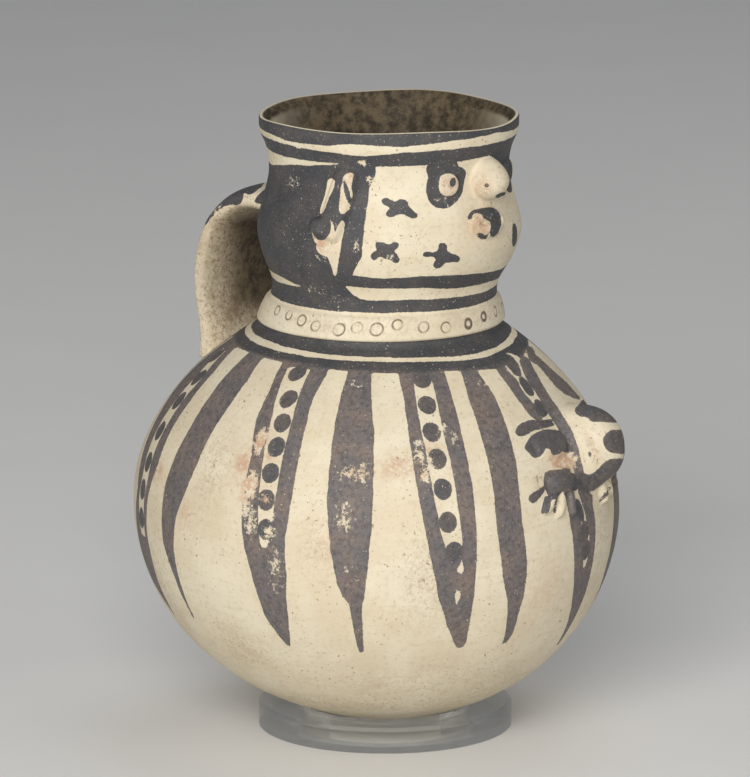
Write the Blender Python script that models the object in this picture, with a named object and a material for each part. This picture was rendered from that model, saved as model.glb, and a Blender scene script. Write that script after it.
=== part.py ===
"""Effigy jar: a round painted earthenware jar with a face on its neck, held up by a clear acrylic ring.

Metres, +Z up. The face looks along -Y and the strap handle is at +Y. The ring stands on Z = 0, and the
origin is under the middle of the whole object's box.
"""
import math

import bmesh
import bpy
import numpy as np
from mathutils import Matrix, Vector

# Display ring
RING_DIAMETER = 0.090
RING_BORE = 0.062
RING_HEIGHT = 0.009
RING_CHAMFER = 0.0012
SEAT_GAP = 0.0003

# Belly: half an ellipse below the widest place, a rounder curve above it
BELLY_RADIUS = 0.0858
BELLY_DROP = 0.0757
SHOULDER_SPAN = 0.0838
SHOULDER_POWER = 2.1
SHOULDER_ROUND = 0.81

# Neck modelled as a head, each place as height above the belly's widest place, and radius
NECK_ROOT_RADIUS = 0.0430
WAIST_RISE, WAIST_RADIUS = 0.0805, 0.0397
JAW_RISE, JAW_RADIUS = 0.0910, 0.0442
CHEEK_RISE, CHEEK_RADIUS = 0.1000, 0.0463
TEMPLE_RISE, TEMPLE_RADIUS = 0.1100, 0.0442
BROW_RISE, BROW_RADIUS = 0.1200, 0.0420
CROWN_RISE, CROWN_RADIUS = 0.1290, 0.0431
RIM_FLARE_RISE, RIM_FLARE_RADIUS = 0.1343, 0.0452
RIM_RISE, RIM_RADIUS = 0.1400, 0.0455
RIM_WAVE = 0.0005

# Collar round the root of the neck
COLLAR_RISE = 0.0664
COLLAR_HEIGHT = 0.0086
COLLAR_LIP_RADIUS = 0.0440
COLLAR_TOP_RADIUS = 0.0415
COLLAR_EDGE = 0.0011

# Walls
BODY_WALL = 0.0060
NECK_WALL = 0.0045
LIP_WALL = 0.0040

# The hand-built jar leans: the belly backwards above its seat, the head forwards again
BELLY_LEAN = 0.0043
BELLY_LEAN_HEIGHT = 0.030
HEAD_RETURN = 0.0060
HEAD_RETURN_RISE = 0.042
HEAD_RETURN_SPAN = 0.060

# Strap handle: its middle line as distance behind the seat's axis and height above the belly's widest place
HANDLE_LINE = (
    (0.0650, 0.0470),
    (0.0673, 0.0600),
    (0.0699, 0.0770),
    (0.0638, 0.0967),
    (0.0548, 0.1042),
    (0.0400, 0.1060),
)
HANDLE_FOOT_WIDTH = 0.0400
HANDLE_TOP_WIDTH = 0.0340
HANDLE_THICKNESS = 0.0080
HANDLE_SQUARENESS = 0.66

# Face, with azimuths in degrees from the front and heights above the belly's widest place
EYE_AZIMUTH = 23.5
EYE_RISE = 0.1212
EYE_RADIUS = 0.0042
EYE_REACH = 0.0022
NOSE_RISE = 0.1215
NOSE_HALF_WIDTH = 0.0076
NOSE_HALF_HEIGHT = 0.0074
NOSE_REACH = 0.0097
MOUTH_AZIMUTH = -4.0
MOUTH_RISE = 0.1066
MOUTH_HALF_WIDTH = 0.0082
MOUTH_HALF_HEIGHT = 0.0056
MOUTH_REACH = 0.0042
EAR_AZIMUTH = 77.0
EAR_RISE = 0.1150
EAR_HALF_WIDTH = 0.0062
EAR_HALF_HEIGHT = 0.0125
EAR_REACH = 0.0034
SPOOL_AZIMUTH = 83.0
SPOOL_RISE = 0.1062
SPOOL_RADIUS = 0.0036
SPOOL_REACH = 0.0050

# Small creature held at the chest
CREATURE_AZIMUTH = 15.0
CREATURE_RISE = 0.0270
CREATURE_HALF_WIDTH = 0.0115
CREATURE_HALF_HEIGHT = 0.0142
CREATURE_REACH = 0.0155
PAW_RISE = 0.0190
PAW_AZIMUTHS = (-2.0, 17.0)
PAW_HALF_WIDTH = 0.0062
PAW_HALF_HEIGHT = 0.0046
PAW_REACH = 0.0036
FOREARM_AZIMUTH = -0.5
FOREARM_RISE = 0.0310
FOREARM_HALF_WIDTH = 0.0084
FOREARM_HALF_HEIGHT = 0.0052
FOREARM_REACH = 0.0020
FINGER_COUNT = 3
FINGER_RADIUS = 0.0017
FINGER_LENGTH = 0.0100
FINGER_GAP = 0.0040
FINGER_ROOT_DROP = 0.0028
FINGER_LIFT = 0.0003
FINGER_SPREAD = 27.0
FINGER_SLANT = 22.0
FINGER_REACH = 0.0018

# Form of the applied lumps, as shares of their own half sizes; a squareness of 1 is a plain ball
NOSE_SLOPE_START = -0.15
NOSE_NARROWING = 0.28
NOSE_FALL = 0.45
MOUTH_SLIT_HALF_HEIGHT = 0.22
MOUTH_SLIT_HALF_LENGTH = 0.85
MOUTH_SLIT_FADE = 0.30
MOUTH_SLIT_DEPTH = 0.40
CREATURE_RAISE = 0.10
CREATURE_UNDERCUT = 0.22
LUMP_SQUARENESS = 0.80
CREATURE_SQUARENESS = 0.72
SPOOL_SQUARENESS = 0.70
FINGER_SQUARENESS = 0.90

# Facets: steps round, rings up, and (round, up) for each lump
TURN_STEPS = 58
RING_STEPS = 72
BOTTOM_RINGS = 11
SHOULDER_RINGS = 9
NECK_RINGS = 13
INNER_BOTTOM_RINGS = 7
INNER_SHOULDER_RINGS = 6
INNER_NECK_RINGS = 8
HANDLE_RINGS = 15
HANDLE_STEPS = 14
LUMP_FACETS = (12, 8)
SMALL_LUMP_FACETS = (10, 6)
MOUTH_FACETS = (14, 12)
CREATURE_FACETS = (16, 12)
FINGER_FACETS = (8, 6)
CREASE_ANGLE = 35.0
WELD_DISTANCE = 0.00001
SLOPE_STEP = 0.0005

# Heights and places that follow from the sizes above
seat_radius = RING_BORE / 2
seat_height = RING_HEIGHT + SEAT_GAP
seat_rise = BELLY_DROP * (1 - math.sqrt(1 - (seat_radius / BELLY_RADIUS) ** 2))
foot_height = seat_height - seat_rise
belly_height = foot_height + BELLY_DROP
neck_stations = (
    (WAIST_RISE, WAIST_RADIUS),
    (JAW_RISE, JAW_RADIUS),
    (CHEEK_RISE, CHEEK_RADIUS),
    (TEMPLE_RISE, TEMPLE_RADIUS),
    (BROW_RISE, BROW_RADIUS),
    (CROWN_RISE, CROWN_RADIUS),
    (RIM_FLARE_RISE, RIM_FLARE_RADIUS),
    (RIM_RISE, RIM_RADIUS),
)


def smooth_step(value):
    """Rises from 0 to 1 with level ends."""
    t = min(max(value, 0.0), 1.0)
    return t * t * (3 - 2 * t)


def lean(rise):
    """How far the jar's axis stands behind its seat, at a height above the belly's widest place."""
    above_seat = rise + belly_height - seat_height
    back = BELLY_LEAN * (1 - math.exp(-above_seat / BELLY_LEAN_HEIGHT))
    return back - HEAD_RETURN * smooth_step((rise - HEAD_RETURN_RISE) / HEAD_RETURN_SPAN)


def belly_radius(rise):
    """Outer radius of the belly and shoulder."""
    if rise <= 0:
        return BELLY_RADIUS * math.sqrt(max(0.0, 1 - (rise / BELLY_DROP) ** 2))
    return BELLY_RADIUS * max(0.0, 1 - (rise / SHOULDER_SPAN) ** SHOULDER_POWER) ** SHOULDER_ROUND


root_share = (NECK_ROOT_RADIUS / BELLY_RADIUS) ** (1 / SHOULDER_ROUND)
ROOT_RISE = SHOULDER_SPAN * (1 - root_share) ** (1 / SHOULDER_POWER)


def through_stations(stations, place):
    """A smooth curve's value at a place, through (place, value) stations."""
    places = np.array([s[0] for s in stations])
    values = np.array([s[1] for s in stations])
    slopes = np.gradient(values, places)
    k = int(np.clip(np.searchsorted(places, place) - 1, 0, len(places) - 2))
    span = places[k + 1] - places[k]
    t = float(np.clip((place - places[k]) / span, 0, 1))
    start = values[k] * (1 + 2 * t) * (1 - t) ** 2 + slopes[k] * span * t * (1 - t) ** 2
    end = values[k + 1] * t * t * (3 - 2 * t) - slopes[k + 1] * span * t * t * (1 - t)
    return float(start + end)


def outer_radius(rise):
    """Outer radius of the plain jar, without its collar."""
    if rise <= ROOT_RISE:
        return belly_radius(rise)
    root = (ROOT_RISE, NECK_ROOT_RADIUS)
    return through_stations((root,) + neck_stations, rise)


belly_back = BELLY_RADIUS + lean(0)
creature_tip = belly_radius(CREATURE_RISE) + CREATURE_REACH
creature_front = creature_tip * math.cos(math.radians(CREATURE_AZIMUTH)) - lean(CREATURE_RISE)
belly_front = BELLY_RADIUS - lean(0)
AXIS_Y = (max(creature_front, belly_front) - belly_back) / 2


def make_material(name, colour, roughness, transmission=0.0, ior=1.45):
    """A plain Principled material."""
    material = bpy.data.materials.new(name)
    material.use_nodes = True
    shader = material.node_tree.nodes["Principled BSDF"]
    shader.inputs["Base Color"].default_value = (*colour, 1.0)
    shader.inputs["Roughness"].default_value = roughness
    shader.inputs["Metallic"].default_value = 0.0
    shader.inputs["Transmission Weight"].default_value = transmission
    shader.inputs["IOR"].default_value = ior
    return material


def add_object(name, mesh, material=None):
    """Links a mesh as an object, smooth except at its sharp edges."""
    mesh.shade_smooth()
    mesh.set_sharp_from_angle(angle=math.radians(CREASE_ANGLE))
    if material:
        mesh.materials.append(material)
    obj = bpy.data.objects.new(name, mesh)
    bpy.context.scene.collection.objects.link(obj)
    return obj


def hide_operand(obj):
    """Keeps a shape that is only added or cut away out of the finished model."""
    obj.hide_render = True
    obj.display_type = "WIRE"


def mesh_from(bm, name):
    """Turns a bmesh into a mesh with its faces outward."""
    bmesh.ops.recalc_face_normals(bm, faces=bm.faces)
    mesh = bpy.data.meshes.new(name)
    bm.to_mesh(mesh)
    bm.free()
    return mesh


def turned(name, profile, steps, bend):
    """Turns a profile of (radius, height) round Z, starting half a step off X, and moves each point."""
    bm = bmesh.new()
    half_step = math.pi / steps
    points = [bm.verts.new((r * math.cos(half_step), r * math.sin(half_step), z)) for r, z in profile]
    edges = [bm.edges.new(pair) for pair in zip(points, points[1:])]
    axis = Vector((0, 0, 1))
    bmesh.ops.spin(
        bm, geom=points + edges, cent=(0, 0, 0), axis=axis, angle=2 * math.pi, steps=steps, use_merge=True
    )
    bmesh.ops.remove_doubles(bm, verts=bm.verts, dist=WELD_DISTANCE)
    for vert in bm.verts:
        vert.co = bend(vert.co)
    return mesh_from(bm, name)


def jar_bend(point):
    """The jar's lean and the gentle wave of its rim."""
    rise = point.z - belly_height
    angle = math.atan2(point.y, point.x)
    near_rim = smooth_step((rise - CROWN_RISE) / (RIM_RISE - CROWN_RISE))
    wave = RIM_WAVE * near_rim * (math.sin(2 * angle + 0.6) + 0.6 * math.sin(5 * angle))
    return Vector((point.x, point.y + lean(rise) + AXIS_Y, point.z + wave))


def outer_line():
    """Outer line from the round bottom up to the lip."""
    lower = [-math.cos(t) * BELLY_DROP for t in np.linspace(0, math.pi / 2, BOTTOM_RINGS)]
    upper = list(np.linspace(0, ROOT_RISE, SHOULDER_RINGS)[1:])
    line = [(outer_radius(rise), rise) for rise in lower + upper]
    collar_top = COLLAR_RISE + COLLAR_HEIGHT
    line.append((COLLAR_LIP_RADIUS, COLLAR_RISE))
    line.append((COLLAR_LIP_RADIUS, COLLAR_RISE + COLLAR_EDGE))
    line.append((COLLAR_TOP_RADIUS, collar_top - COLLAR_EDGE))
    line.append((outer_radius(collar_top), collar_top))
    neck = np.linspace(WAIST_RISE, RIM_RISE - LIP_WALL / 2, NECK_RINGS)
    return line + [(outer_radius(rise), rise) for rise in neck]


def lip_line():
    """The lip's rounded top, from outside to inside."""
    middle = RIM_RADIUS - LIP_WALL / 2
    height = RIM_RISE - LIP_WALL / 2
    turns = [math.radians(angle) for angle in (35, 70, 110, 145)]
    return [(middle + LIP_WALL / 2 * math.cos(t), height + LIP_WALL / 2 * math.sin(t)) for t in turns]


def inner_line():
    """Inner line from the lip down to the bottom of the hollow, a wall's thickness inside the outer one."""
    line = []
    for rise in np.linspace(RIM_RISE - LIP_WALL / 2, WAIST_RISE, INNER_NECK_RINGS):
        share = smooth_step((rise - BROW_RISE) / (RIM_RISE - BROW_RISE))
        line.append((outer_radius(rise) - NECK_WALL - (LIP_WALL - NECK_WALL) * share, rise))
    for rise in np.linspace(ROOT_RISE, 0, INNER_SHOULDER_RINGS)[:-1]:
        slope = (outer_radius(rise) - outer_radius(rise - SLOPE_STEP)) / SLOPE_STEP
        length = math.hypot(slope, 1)
        line.append((outer_radius(rise) - BODY_WALL / length, rise + BODY_WALL * slope / length))
    for t in np.linspace(math.pi / 2, 0, INNER_BOTTOM_RINGS):
        line.append(((BELLY_RADIUS - BODY_WALL) * math.sin(t), (BODY_WALL - BELLY_DROP) * math.cos(t)))
    return line


def wall_middle(point):
    """Moves a point in or out until it is half-way through the jar's wall at its own height."""
    rise = point.z - belly_height
    wall = BODY_WALL if rise < ROOT_RISE else NECK_WALL
    centre = Vector((0, lean(rise) + AXIS_Y, point.z))
    outward = (point - centre).normalized()
    return centre + outward * (outer_radius(rise) - wall / 2)


def surface_frame(azimuth, rise):
    """Place and directions (sideways, up the wall, outward) on the jar's surface, as a matrix."""
    phi = math.radians(azimuth)
    radius = outer_radius(rise)
    slope = (outer_radius(rise + SLOPE_STEP) - outer_radius(rise - SLOPE_STEP)) / (2 * SLOPE_STEP)
    outward = Vector((math.sin(phi), -math.cos(phi), 0.0))
    sideways = Vector((math.cos(phi), math.sin(phi), 0.0))
    along = (outward * slope + Vector((0, 0, 1))).normalized()
    normal = sideways.cross(along)
    place = outward * radius + Vector((0.0, lean(rise) + AXIS_Y, rise + belly_height))
    columns = Matrix((sideways, along, normal)).transposed().to_4x4()
    return Matrix.Translation(place) @ columns


def squared(value, power):
    """Keeps a value's sign and raises its size to a power."""
    return math.copysign(abs(value) ** power, value)


def lump(name, frame, sizes, squareness=LUMP_SQUARENESS, facets=LUMP_FACETS, shape=None):
    """A pressed-on lump of clay: half a ball drawn out to half sizes (sideways, along, outward)."""
    bm = bmesh.new()
    bmesh.ops.create_uvsphere(bm, u_segments=facets[0], v_segments=facets[1], radius=1.0)
    for vert in bm.verts:
        local = Vector([squared(c, squareness) for c in vert.co])
        behind = local.z < -WELD_DISTANCE
        if shape:
            local = shape(local)
        vert.co = frame @ Vector([c * s for c, s in zip(local, sizes)])
        if behind:
            vert.co = wall_middle(vert.co)
    obj = add_object(name, mesh_from(bm, name))
    hide_operand(obj)
    return obj


def nose_shape(point):
    """Narrows the nose towards the brow and drops its tip."""
    towards_brow = smooth_step((point.y - NOSE_SLOPE_START) / (1 - NOSE_SLOPE_START))
    height = 1 - NOSE_FALL * towards_brow if point.z > 0 else 1
    return Vector((point.x * (1 - NOSE_NARROWING * towards_brow), point.y, point.z * height))


def mouth_shape(point):
    """Presses the slit between the lips."""
    across = smooth_step((MOUTH_SLIT_HALF_LENGTH - abs(point.x)) / MOUTH_SLIT_FADE)
    slit = across * math.exp(-((point.y / MOUTH_SLIT_HALF_HEIGHT) ** 2))
    height = 1 - MOUTH_SLIT_DEPTH * slit if point.z > 0 else 1
    return Vector((point.x, point.y, point.z * height))


def creature_shape(point):
    """A snout: level along its back, drawn in below, blunt in front."""
    height = 1 - CREATURE_UNDERCUT * smooth_step(-point.y) if point.z > 0 else 1
    return Vector((point.x, point.y + CREATURE_RAISE * point.z, point.z * height))


def make_face():
    """Nose, mouth, pellet eyes, ears and ear spools."""
    nose = surface_frame(0, NOSE_RISE)
    mouth = surface_frame(MOUTH_AZIMUTH, MOUTH_RISE)
    nose_sizes = (NOSE_HALF_WIDTH, NOSE_HALF_HEIGHT, NOSE_REACH)
    mouth_sizes = (MOUTH_HALF_WIDTH, MOUTH_HALF_HEIGHT, MOUTH_REACH)
    parts = [
        lump("nose", nose, nose_sizes, squareness=1.0, shape=nose_shape),
        lump("mouth", mouth, mouth_sizes, squareness=1.0, facets=MOUTH_FACETS, shape=mouth_shape),
    ]
    for side, name in ((-1, "right"), (1, "left")):
        eye = surface_frame(side * EYE_AZIMUTH, EYE_RISE)
        sizes = (EYE_RADIUS, EYE_RADIUS, EYE_REACH)
        parts.append(lump(f"{name}_eye", eye, sizes, facets=SMALL_LUMP_FACETS))
        ear = surface_frame(side * EAR_AZIMUTH, EAR_RISE)
        parts.append(lump(f"{name}_ear", ear, (EAR_HALF_WIDTH, EAR_HALF_HEIGHT, EAR_REACH)))
        spool = surface_frame(side * SPOOL_AZIMUTH, SPOOL_RISE)
        sizes = (SPOOL_RADIUS, SPOOL_RADIUS, SPOOL_REACH)
        parts.append(lump(f"{name}_ear_spool", spool, sizes, SPOOL_SQUARENESS, SMALL_LUMP_FACETS))
    return parts


def make_creature():
    """The creature at the chest, its paws with spread fingers, and the forearm above the nearer paw."""
    phi = math.radians(CREATURE_AZIMUTH)
    level = Matrix(
        ((math.cos(phi), 0, math.sin(phi)), (math.sin(phi), 0, -math.cos(phi)), (0, 1, 0))
    ).to_4x4()
    root = surface_frame(CREATURE_AZIMUTH, CREATURE_RISE).translation
    frame = Matrix.Translation(root) @ level
    sizes = (CREATURE_HALF_WIDTH, CREATURE_HALF_HEIGHT, CREATURE_REACH)
    parts = [lump("creature", frame, sizes, CREATURE_SQUARENESS, CREATURE_FACETS, creature_shape)]
    forearm = surface_frame(FOREARM_AZIMUTH, FOREARM_RISE)
    sizes = (FOREARM_HALF_WIDTH, FOREARM_HALF_HEIGHT, FOREARM_REACH)
    parts.append(lump("forearm", forearm, sizes))
    paw_sizes = (PAW_HALF_WIDTH, PAW_HALF_HEIGHT, PAW_REACH)
    finger_sizes = (FINGER_RADIUS, FINGER_LENGTH / 2, FINGER_REACH)
    for azimuth, side, name in zip(PAW_AZIMUTHS, (-1, 1), ("right", "left")):
        paw = surface_frame(azimuth, PAW_RISE)
        parts.append(lump(f"{name}_paw", paw, paw_sizes))
        for i in range(FINGER_COUNT):
            from_middle = side * (i - (FINGER_COUNT - 1) / 2)
            root = Matrix.Translation((FINGER_GAP * from_middle, -FINGER_ROOT_DROP, FINGER_LIFT))
            turn = math.radians(side * FINGER_SLANT + FINGER_SPREAD * from_middle)
            out = Matrix.Rotation(turn, 4, "Z") @ Matrix.Translation((0, -FINGER_LENGTH / 2, 0))
            finger = paw @ root @ out
            parts.append(
                lump(f"{name}_finger_{i + 1}", finger, finger_sizes, FINGER_SQUARENESS, FINGER_FACETS)
            )
    return parts


def make_handle():
    """The strap: a flat oval carried along its middle line, from the shoulder over to the head."""
    line = np.array(HANDLE_LINE)
    lengths = np.concatenate(([0.0], np.cumsum(np.hypot(*np.diff(line, axis=0).T))))
    backs = list(zip(lengths, line[:, 0]))
    rises = list(zip(lengths, line[:, 1]))

    def middle(place):
        return Vector((0, through_stations(backs, place) + AXIS_Y, through_stations(rises, place) + belly_height))

    bm = bmesh.new()
    loops = []
    for place in np.linspace(0, lengths[-1], HANDLE_RINGS):
        ahead = min(place + SLOPE_STEP, lengths[-1])
        along = (middle(ahead) - middle(ahead - 2 * SLOPE_STEP)).normalized()
        outward = Vector((0, along.z, -along.y))
        width = HANDLE_FOOT_WIDTH + (HANDLE_TOP_WIDTH - HANDLE_FOOT_WIDTH) * place / lengths[-1]
        loop = []
        for k in range(HANDLE_STEPS):
            angle = 2 * math.pi * k / HANDLE_STEPS
            side = squared(math.cos(angle), HANDLE_SQUARENESS) * width / 2
            depth = squared(math.sin(angle), HANDLE_SQUARENESS) * HANDLE_THICKNESS / 2
            loop.append(bm.verts.new(middle(place) + Vector((side, 0, 0)) + outward * depth))
        loops.append(loop)
    for first, second in zip(loops, loops[1:]):
        for k in range(HANDLE_STEPS):
            j = (k + 1) % HANDLE_STEPS
            bm.faces.new((first[k], first[j], second[j], second[k]))
    for loop in (loops[0], loops[-1]):
        for vert in loop:
            vert.co = wall_middle(vert.co)
        bm.faces.new(loop)
    handle = add_object("handle", mesh_from(bm, "handle"))
    hide_operand(handle)
    return handle


def unite(target, shapes):
    """Joins shapes to the target, all at once, with the exact solver."""
    group = bpy.data.collections.new("applied_clay")
    for shape in shapes:
        group.objects.link(shape)
    modifier = target.modifiers.new("applied_clay", "BOOLEAN")
    modifier.operation = "UNION"
    modifier.solver = "EXACT"
    modifier.operand_type = "COLLECTION"
    modifier.collection = group


def make_jar(material):
    """The fired jar: one hollow piece of clay with its handle and applied parts."""
    line = outer_line() + lip_line() + inner_line()
    profile = [(radius, belly_height + rise) for radius, rise in line]
    jar = add_object("jar", turned("jar", profile, TURN_STEPS, jar_bend), material)
    unite(jar, [make_handle()] + make_face() + make_creature())
    return jar


def make_ring(material):
    """The clear ring: a flat band with its upper outer edge taken off."""
    outer = RING_DIAMETER / 2
    inner = RING_BORE / 2
    profile = [
        (outer, RING_HEIGHT - RING_CHAMFER),
        (outer, 0.0),
        (inner, 0.0),
        (inner, RING_HEIGHT),
        (outer - RING_CHAMFER, RING_HEIGHT),
        (outer, RING_HEIGHT - RING_CHAMFER),
    ]
    mesh = turned("display_ring", profile, RING_STEPS, lambda p: p + Vector((0, AXIS_Y, 0)))
    return add_object("display_ring", mesh, material)


def main():
    """Builds the jar and its ring."""
    for obj in list(bpy.data.objects):
        bpy.data.objects.remove(obj, do_unlink=True)
    earthenware = make_material("slip_painted_earthenware", (0.66, 0.57, 0.42), 0.85)
    acrylic = make_material("clear_acrylic", (0.95, 0.97, 0.96), 0.05, transmission=1.0, ior=1.49)
    make_jar(earthenware)
    make_ring(acrylic)


main()
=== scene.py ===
"""Painted effigy jar on its clear display ring: the clay's surface, the brushed paint and the wear.

Lengths are metres where a name doesn't say otherwise. The paint's chart is the jar's outer wall laid flat:
an azimuth in degrees from the middle of the face, + towards the figure's left, and a height in millimetres.
"""

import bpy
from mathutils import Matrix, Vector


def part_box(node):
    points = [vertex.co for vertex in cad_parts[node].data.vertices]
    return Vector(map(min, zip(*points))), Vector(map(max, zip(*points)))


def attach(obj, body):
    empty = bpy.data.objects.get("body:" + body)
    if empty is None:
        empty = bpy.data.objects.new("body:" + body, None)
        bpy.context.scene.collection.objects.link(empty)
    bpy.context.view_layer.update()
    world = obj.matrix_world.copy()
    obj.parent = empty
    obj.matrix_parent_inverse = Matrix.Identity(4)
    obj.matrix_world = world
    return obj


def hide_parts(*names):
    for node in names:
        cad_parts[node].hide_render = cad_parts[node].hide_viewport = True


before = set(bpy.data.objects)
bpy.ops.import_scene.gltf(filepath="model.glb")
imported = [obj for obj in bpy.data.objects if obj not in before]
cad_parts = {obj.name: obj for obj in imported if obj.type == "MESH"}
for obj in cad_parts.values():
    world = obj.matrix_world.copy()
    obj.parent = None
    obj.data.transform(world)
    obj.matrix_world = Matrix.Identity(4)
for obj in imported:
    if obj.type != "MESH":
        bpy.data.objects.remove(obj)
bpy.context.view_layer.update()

import copy
import math

import bpy
import numpy as np
from mathutils import Vector

MM = 0.001

# Jar, as its solid is made: "rise" is the height above the belly's widest place
SEAT_GAP = 0.0003
RING_BORE = 0.062
RING_EDGE = 0.0012
BELLY_RADIUS, BELLY_DROP = 0.0858, 0.0757
SHOULDER_SPAN, SHOULDER_POWER, SHOULDER_ROUND = 0.0838, 2.1, 0.81
ROOT_RISE, ROOT_RADIUS = 0.0643, 0.0430
NECK = (
    (ROOT_RISE, ROOT_RADIUS), (0.0805, 0.0397), (0.0910, 0.0442), (0.1000, 0.0463), (0.1100, 0.0442),
    (0.1200, 0.0420), (0.1290, 0.0431), (0.1343, 0.0452), (0.1400, 0.0455),
)
CROWN_RISE, RIM_RISE, RIM_RADIUS, RIM_WAVE = 0.1290, 0.1400, 0.0455, 0.0005
BROW_RISE = 0.1200
COLLAR_RISE, COLLAR_HEIGHT, COLLAR_EDGE = 0.0664, 0.0086, 0.0011
COLLAR_LIP_RADIUS, COLLAR_TOP_RADIUS = 0.0436, 0.0415
BODY_WALL, NECK_WALL, LIP_WALL = 0.0060, 0.0045, 0.0040
BELLY_LEAN, BELLY_LEAN_HEIGHT = 0.0043, 0.030
HEAD_RETURN, HEAD_RETURN_RISE, HEAD_RETURN_SPAN = 0.0060, 0.042, 0.060
HANDLE_LINE = (
    (0.0650, 0.0470), (0.0673, 0.0600), (0.0699, 0.0770), (0.0638, 0.0967), (0.0548, 0.1042), (0.0400, 0.1060),
)
HANDLE_FOOT_WIDTH, HANDLE_TOP_WIDTH, HANDLE_THICKNESS, HANDLE_SQUARENESS = 0.0400, 0.0340, 0.0080, 0.66

ring_low, ring_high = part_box("display_ring")
AXIS_Y = (ring_low.y + ring_high.y) / 2
RING_RADIUS = (ring_high.x - ring_low.x) / 2
SEAT_HEIGHT = ring_high.z + SEAT_GAP
SEAT_RISE = BELLY_DROP * (1 - math.sqrt(1 - (RING_BORE / 2 / BELLY_RADIUS) ** 2))
BELLY_HEIGHT = SEAT_HEIGHT - SEAT_RISE + BELLY_DROP

# Where the photograph was taken from
CAMERA_AZIMUTH, CAMERA_ELEVATION, CAMERA_DISTANCE = -52.0, 12.1, 2.600
CAMERA_AIM_HEIGHT, CAMERA_AIM_SIDE = 0.121, -0.0036
CAMERA_LENS, CAMERA_FILM = 342.1, 36.0
PHOTO_WIDTH, PHOTO_HEIGHT = 750, 777


# ---------------------------------------------------------------- the jar's form

def smooth_step(value):
    """3t^2 - 2t^3 with t held between 0 and 1."""
    t = np.clip(value, 0.0, 1.0)
    return t * t * (3 - 2 * t)


def ramp(value, start, width):
    """Smooth step from 0 at start to 1 a width further on; a minus width turns it round."""
    return smooth_step((value - start) / width)


def squared(value, power):
    """The value's sign times its size to a power."""
    return np.sign(value) * np.abs(value) ** power


def through(stations, place):
    """A smooth line through (place, value) stations: cubic pieces whose slopes are the stations' own."""
    places, values = np.array(stations, float).T
    slopes = np.gradient(values, places)
    k = np.clip(np.searchsorted(places, place) - 1, 0, len(places) - 2)
    span = places[k + 1] - places[k]
    t = np.clip((place - places[k]) / span, 0, 1)
    start = values[k] * (1 + 2 * t) * (1 - t) ** 2 + slopes[k] * span * t * (1 - t) ** 2
    end = values[k + 1] * t * t * (3 - 2 * t) - slopes[k + 1] * span * t * t * (1 - t)
    return start + end


def lean(rise):
    """How far the axis stands behind the seat: back by 1 - exp(-h) over the belly, forward by a smooth step."""
    back = BELLY_LEAN * (1 - np.exp(-(rise + BELLY_HEIGHT - SEAT_HEIGHT) / BELLY_LEAN_HEIGHT))
    return back - HEAD_RETURN * ramp(rise, HEAD_RETURN_RISE, HEAD_RETURN_SPAN)


def outer_radius(rise):
    """Half an ellipse below, R(1 - (h/H)^p)^q on the shoulder, a smooth line through the neck's stations above."""
    rise = np.asarray(rise, float)
    below = BELLY_RADIUS * np.sqrt(np.clip(1 - (np.minimum(rise, 0) / BELLY_DROP) ** 2, 0, 1))
    share = np.clip(rise, 0, ROOT_RISE) / SHOULDER_SPAN
    shoulder = BELLY_RADIUS * (1 - share ** SHOULDER_POWER) ** SHOULDER_ROUND
    return np.where(rise <= 0, below, np.where(rise <= ROOT_RISE, shoulder, through(NECK, rise)))


def wall_point(azimuth, rise, radius):
    """(r sin a, lean - r cos a, height + rise), with the rim's gentle wave added near the lip."""
    phi = np.radians(azimuth)
    x, y = radius * np.sin(phi), -radius * np.cos(phi)
    turn = np.arctan2(y, x)
    near_rim = ramp(rise, CROWN_RISE, RIM_RISE - CROWN_RISE)
    wave = RIM_WAVE * near_rim * (np.sin(2 * turn + 0.6) + 0.6 * np.sin(5 * turn))
    return np.stack((x, y + lean(rise) + AXIS_Y, BELLY_HEIGHT + rise + wave), -1)


def chart_of(points):
    """Azimuth in degrees and rise of points near the wall."""
    rise = points[..., 2] - BELLY_HEIGHT
    azimuth = np.degrees(np.arctan2(points[..., 0], -(points[..., 1] - AXIS_Y - lean(rise))))
    return azimuth, rise


def off_wall(points):
    """How far points stand out from the plain wall at their own height."""
    rise = points[..., 2] - BELLY_HEIGHT
    return np.hypot(points[..., 0], points[..., 1] - AXIS_Y - lean(rise)) - outer_radius(rise)


def even_rows(line, step):
    """Spaces points along a line so that each is a step from the next; the step may be a function of place."""
    line = np.asarray(line, float)
    lengths = np.hypot(*np.diff(line, axis=0).T)
    steps = step((line[1:] + line[:-1]) / 2) if callable(step) else step
    count = np.concatenate(([0.0], np.cumsum(lengths / steps)))
    places = np.linspace(0, count[-1], int(round(count[-1])) + 1)
    return np.stack([np.interp(places, count, line[:, k]) for k in (0, 1)], -1)


def turned_grid(rows, azimuths):
    """Turns rows of (radius, rise) round the leaning axis."""
    radius, rise = rows[:, :1], rows[:, 1:]
    return wall_point(azimuths[None, :] + 0 * rise, rise + 0 * azimuths[None, :], radius + 0 * azimuths[None, :])


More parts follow.
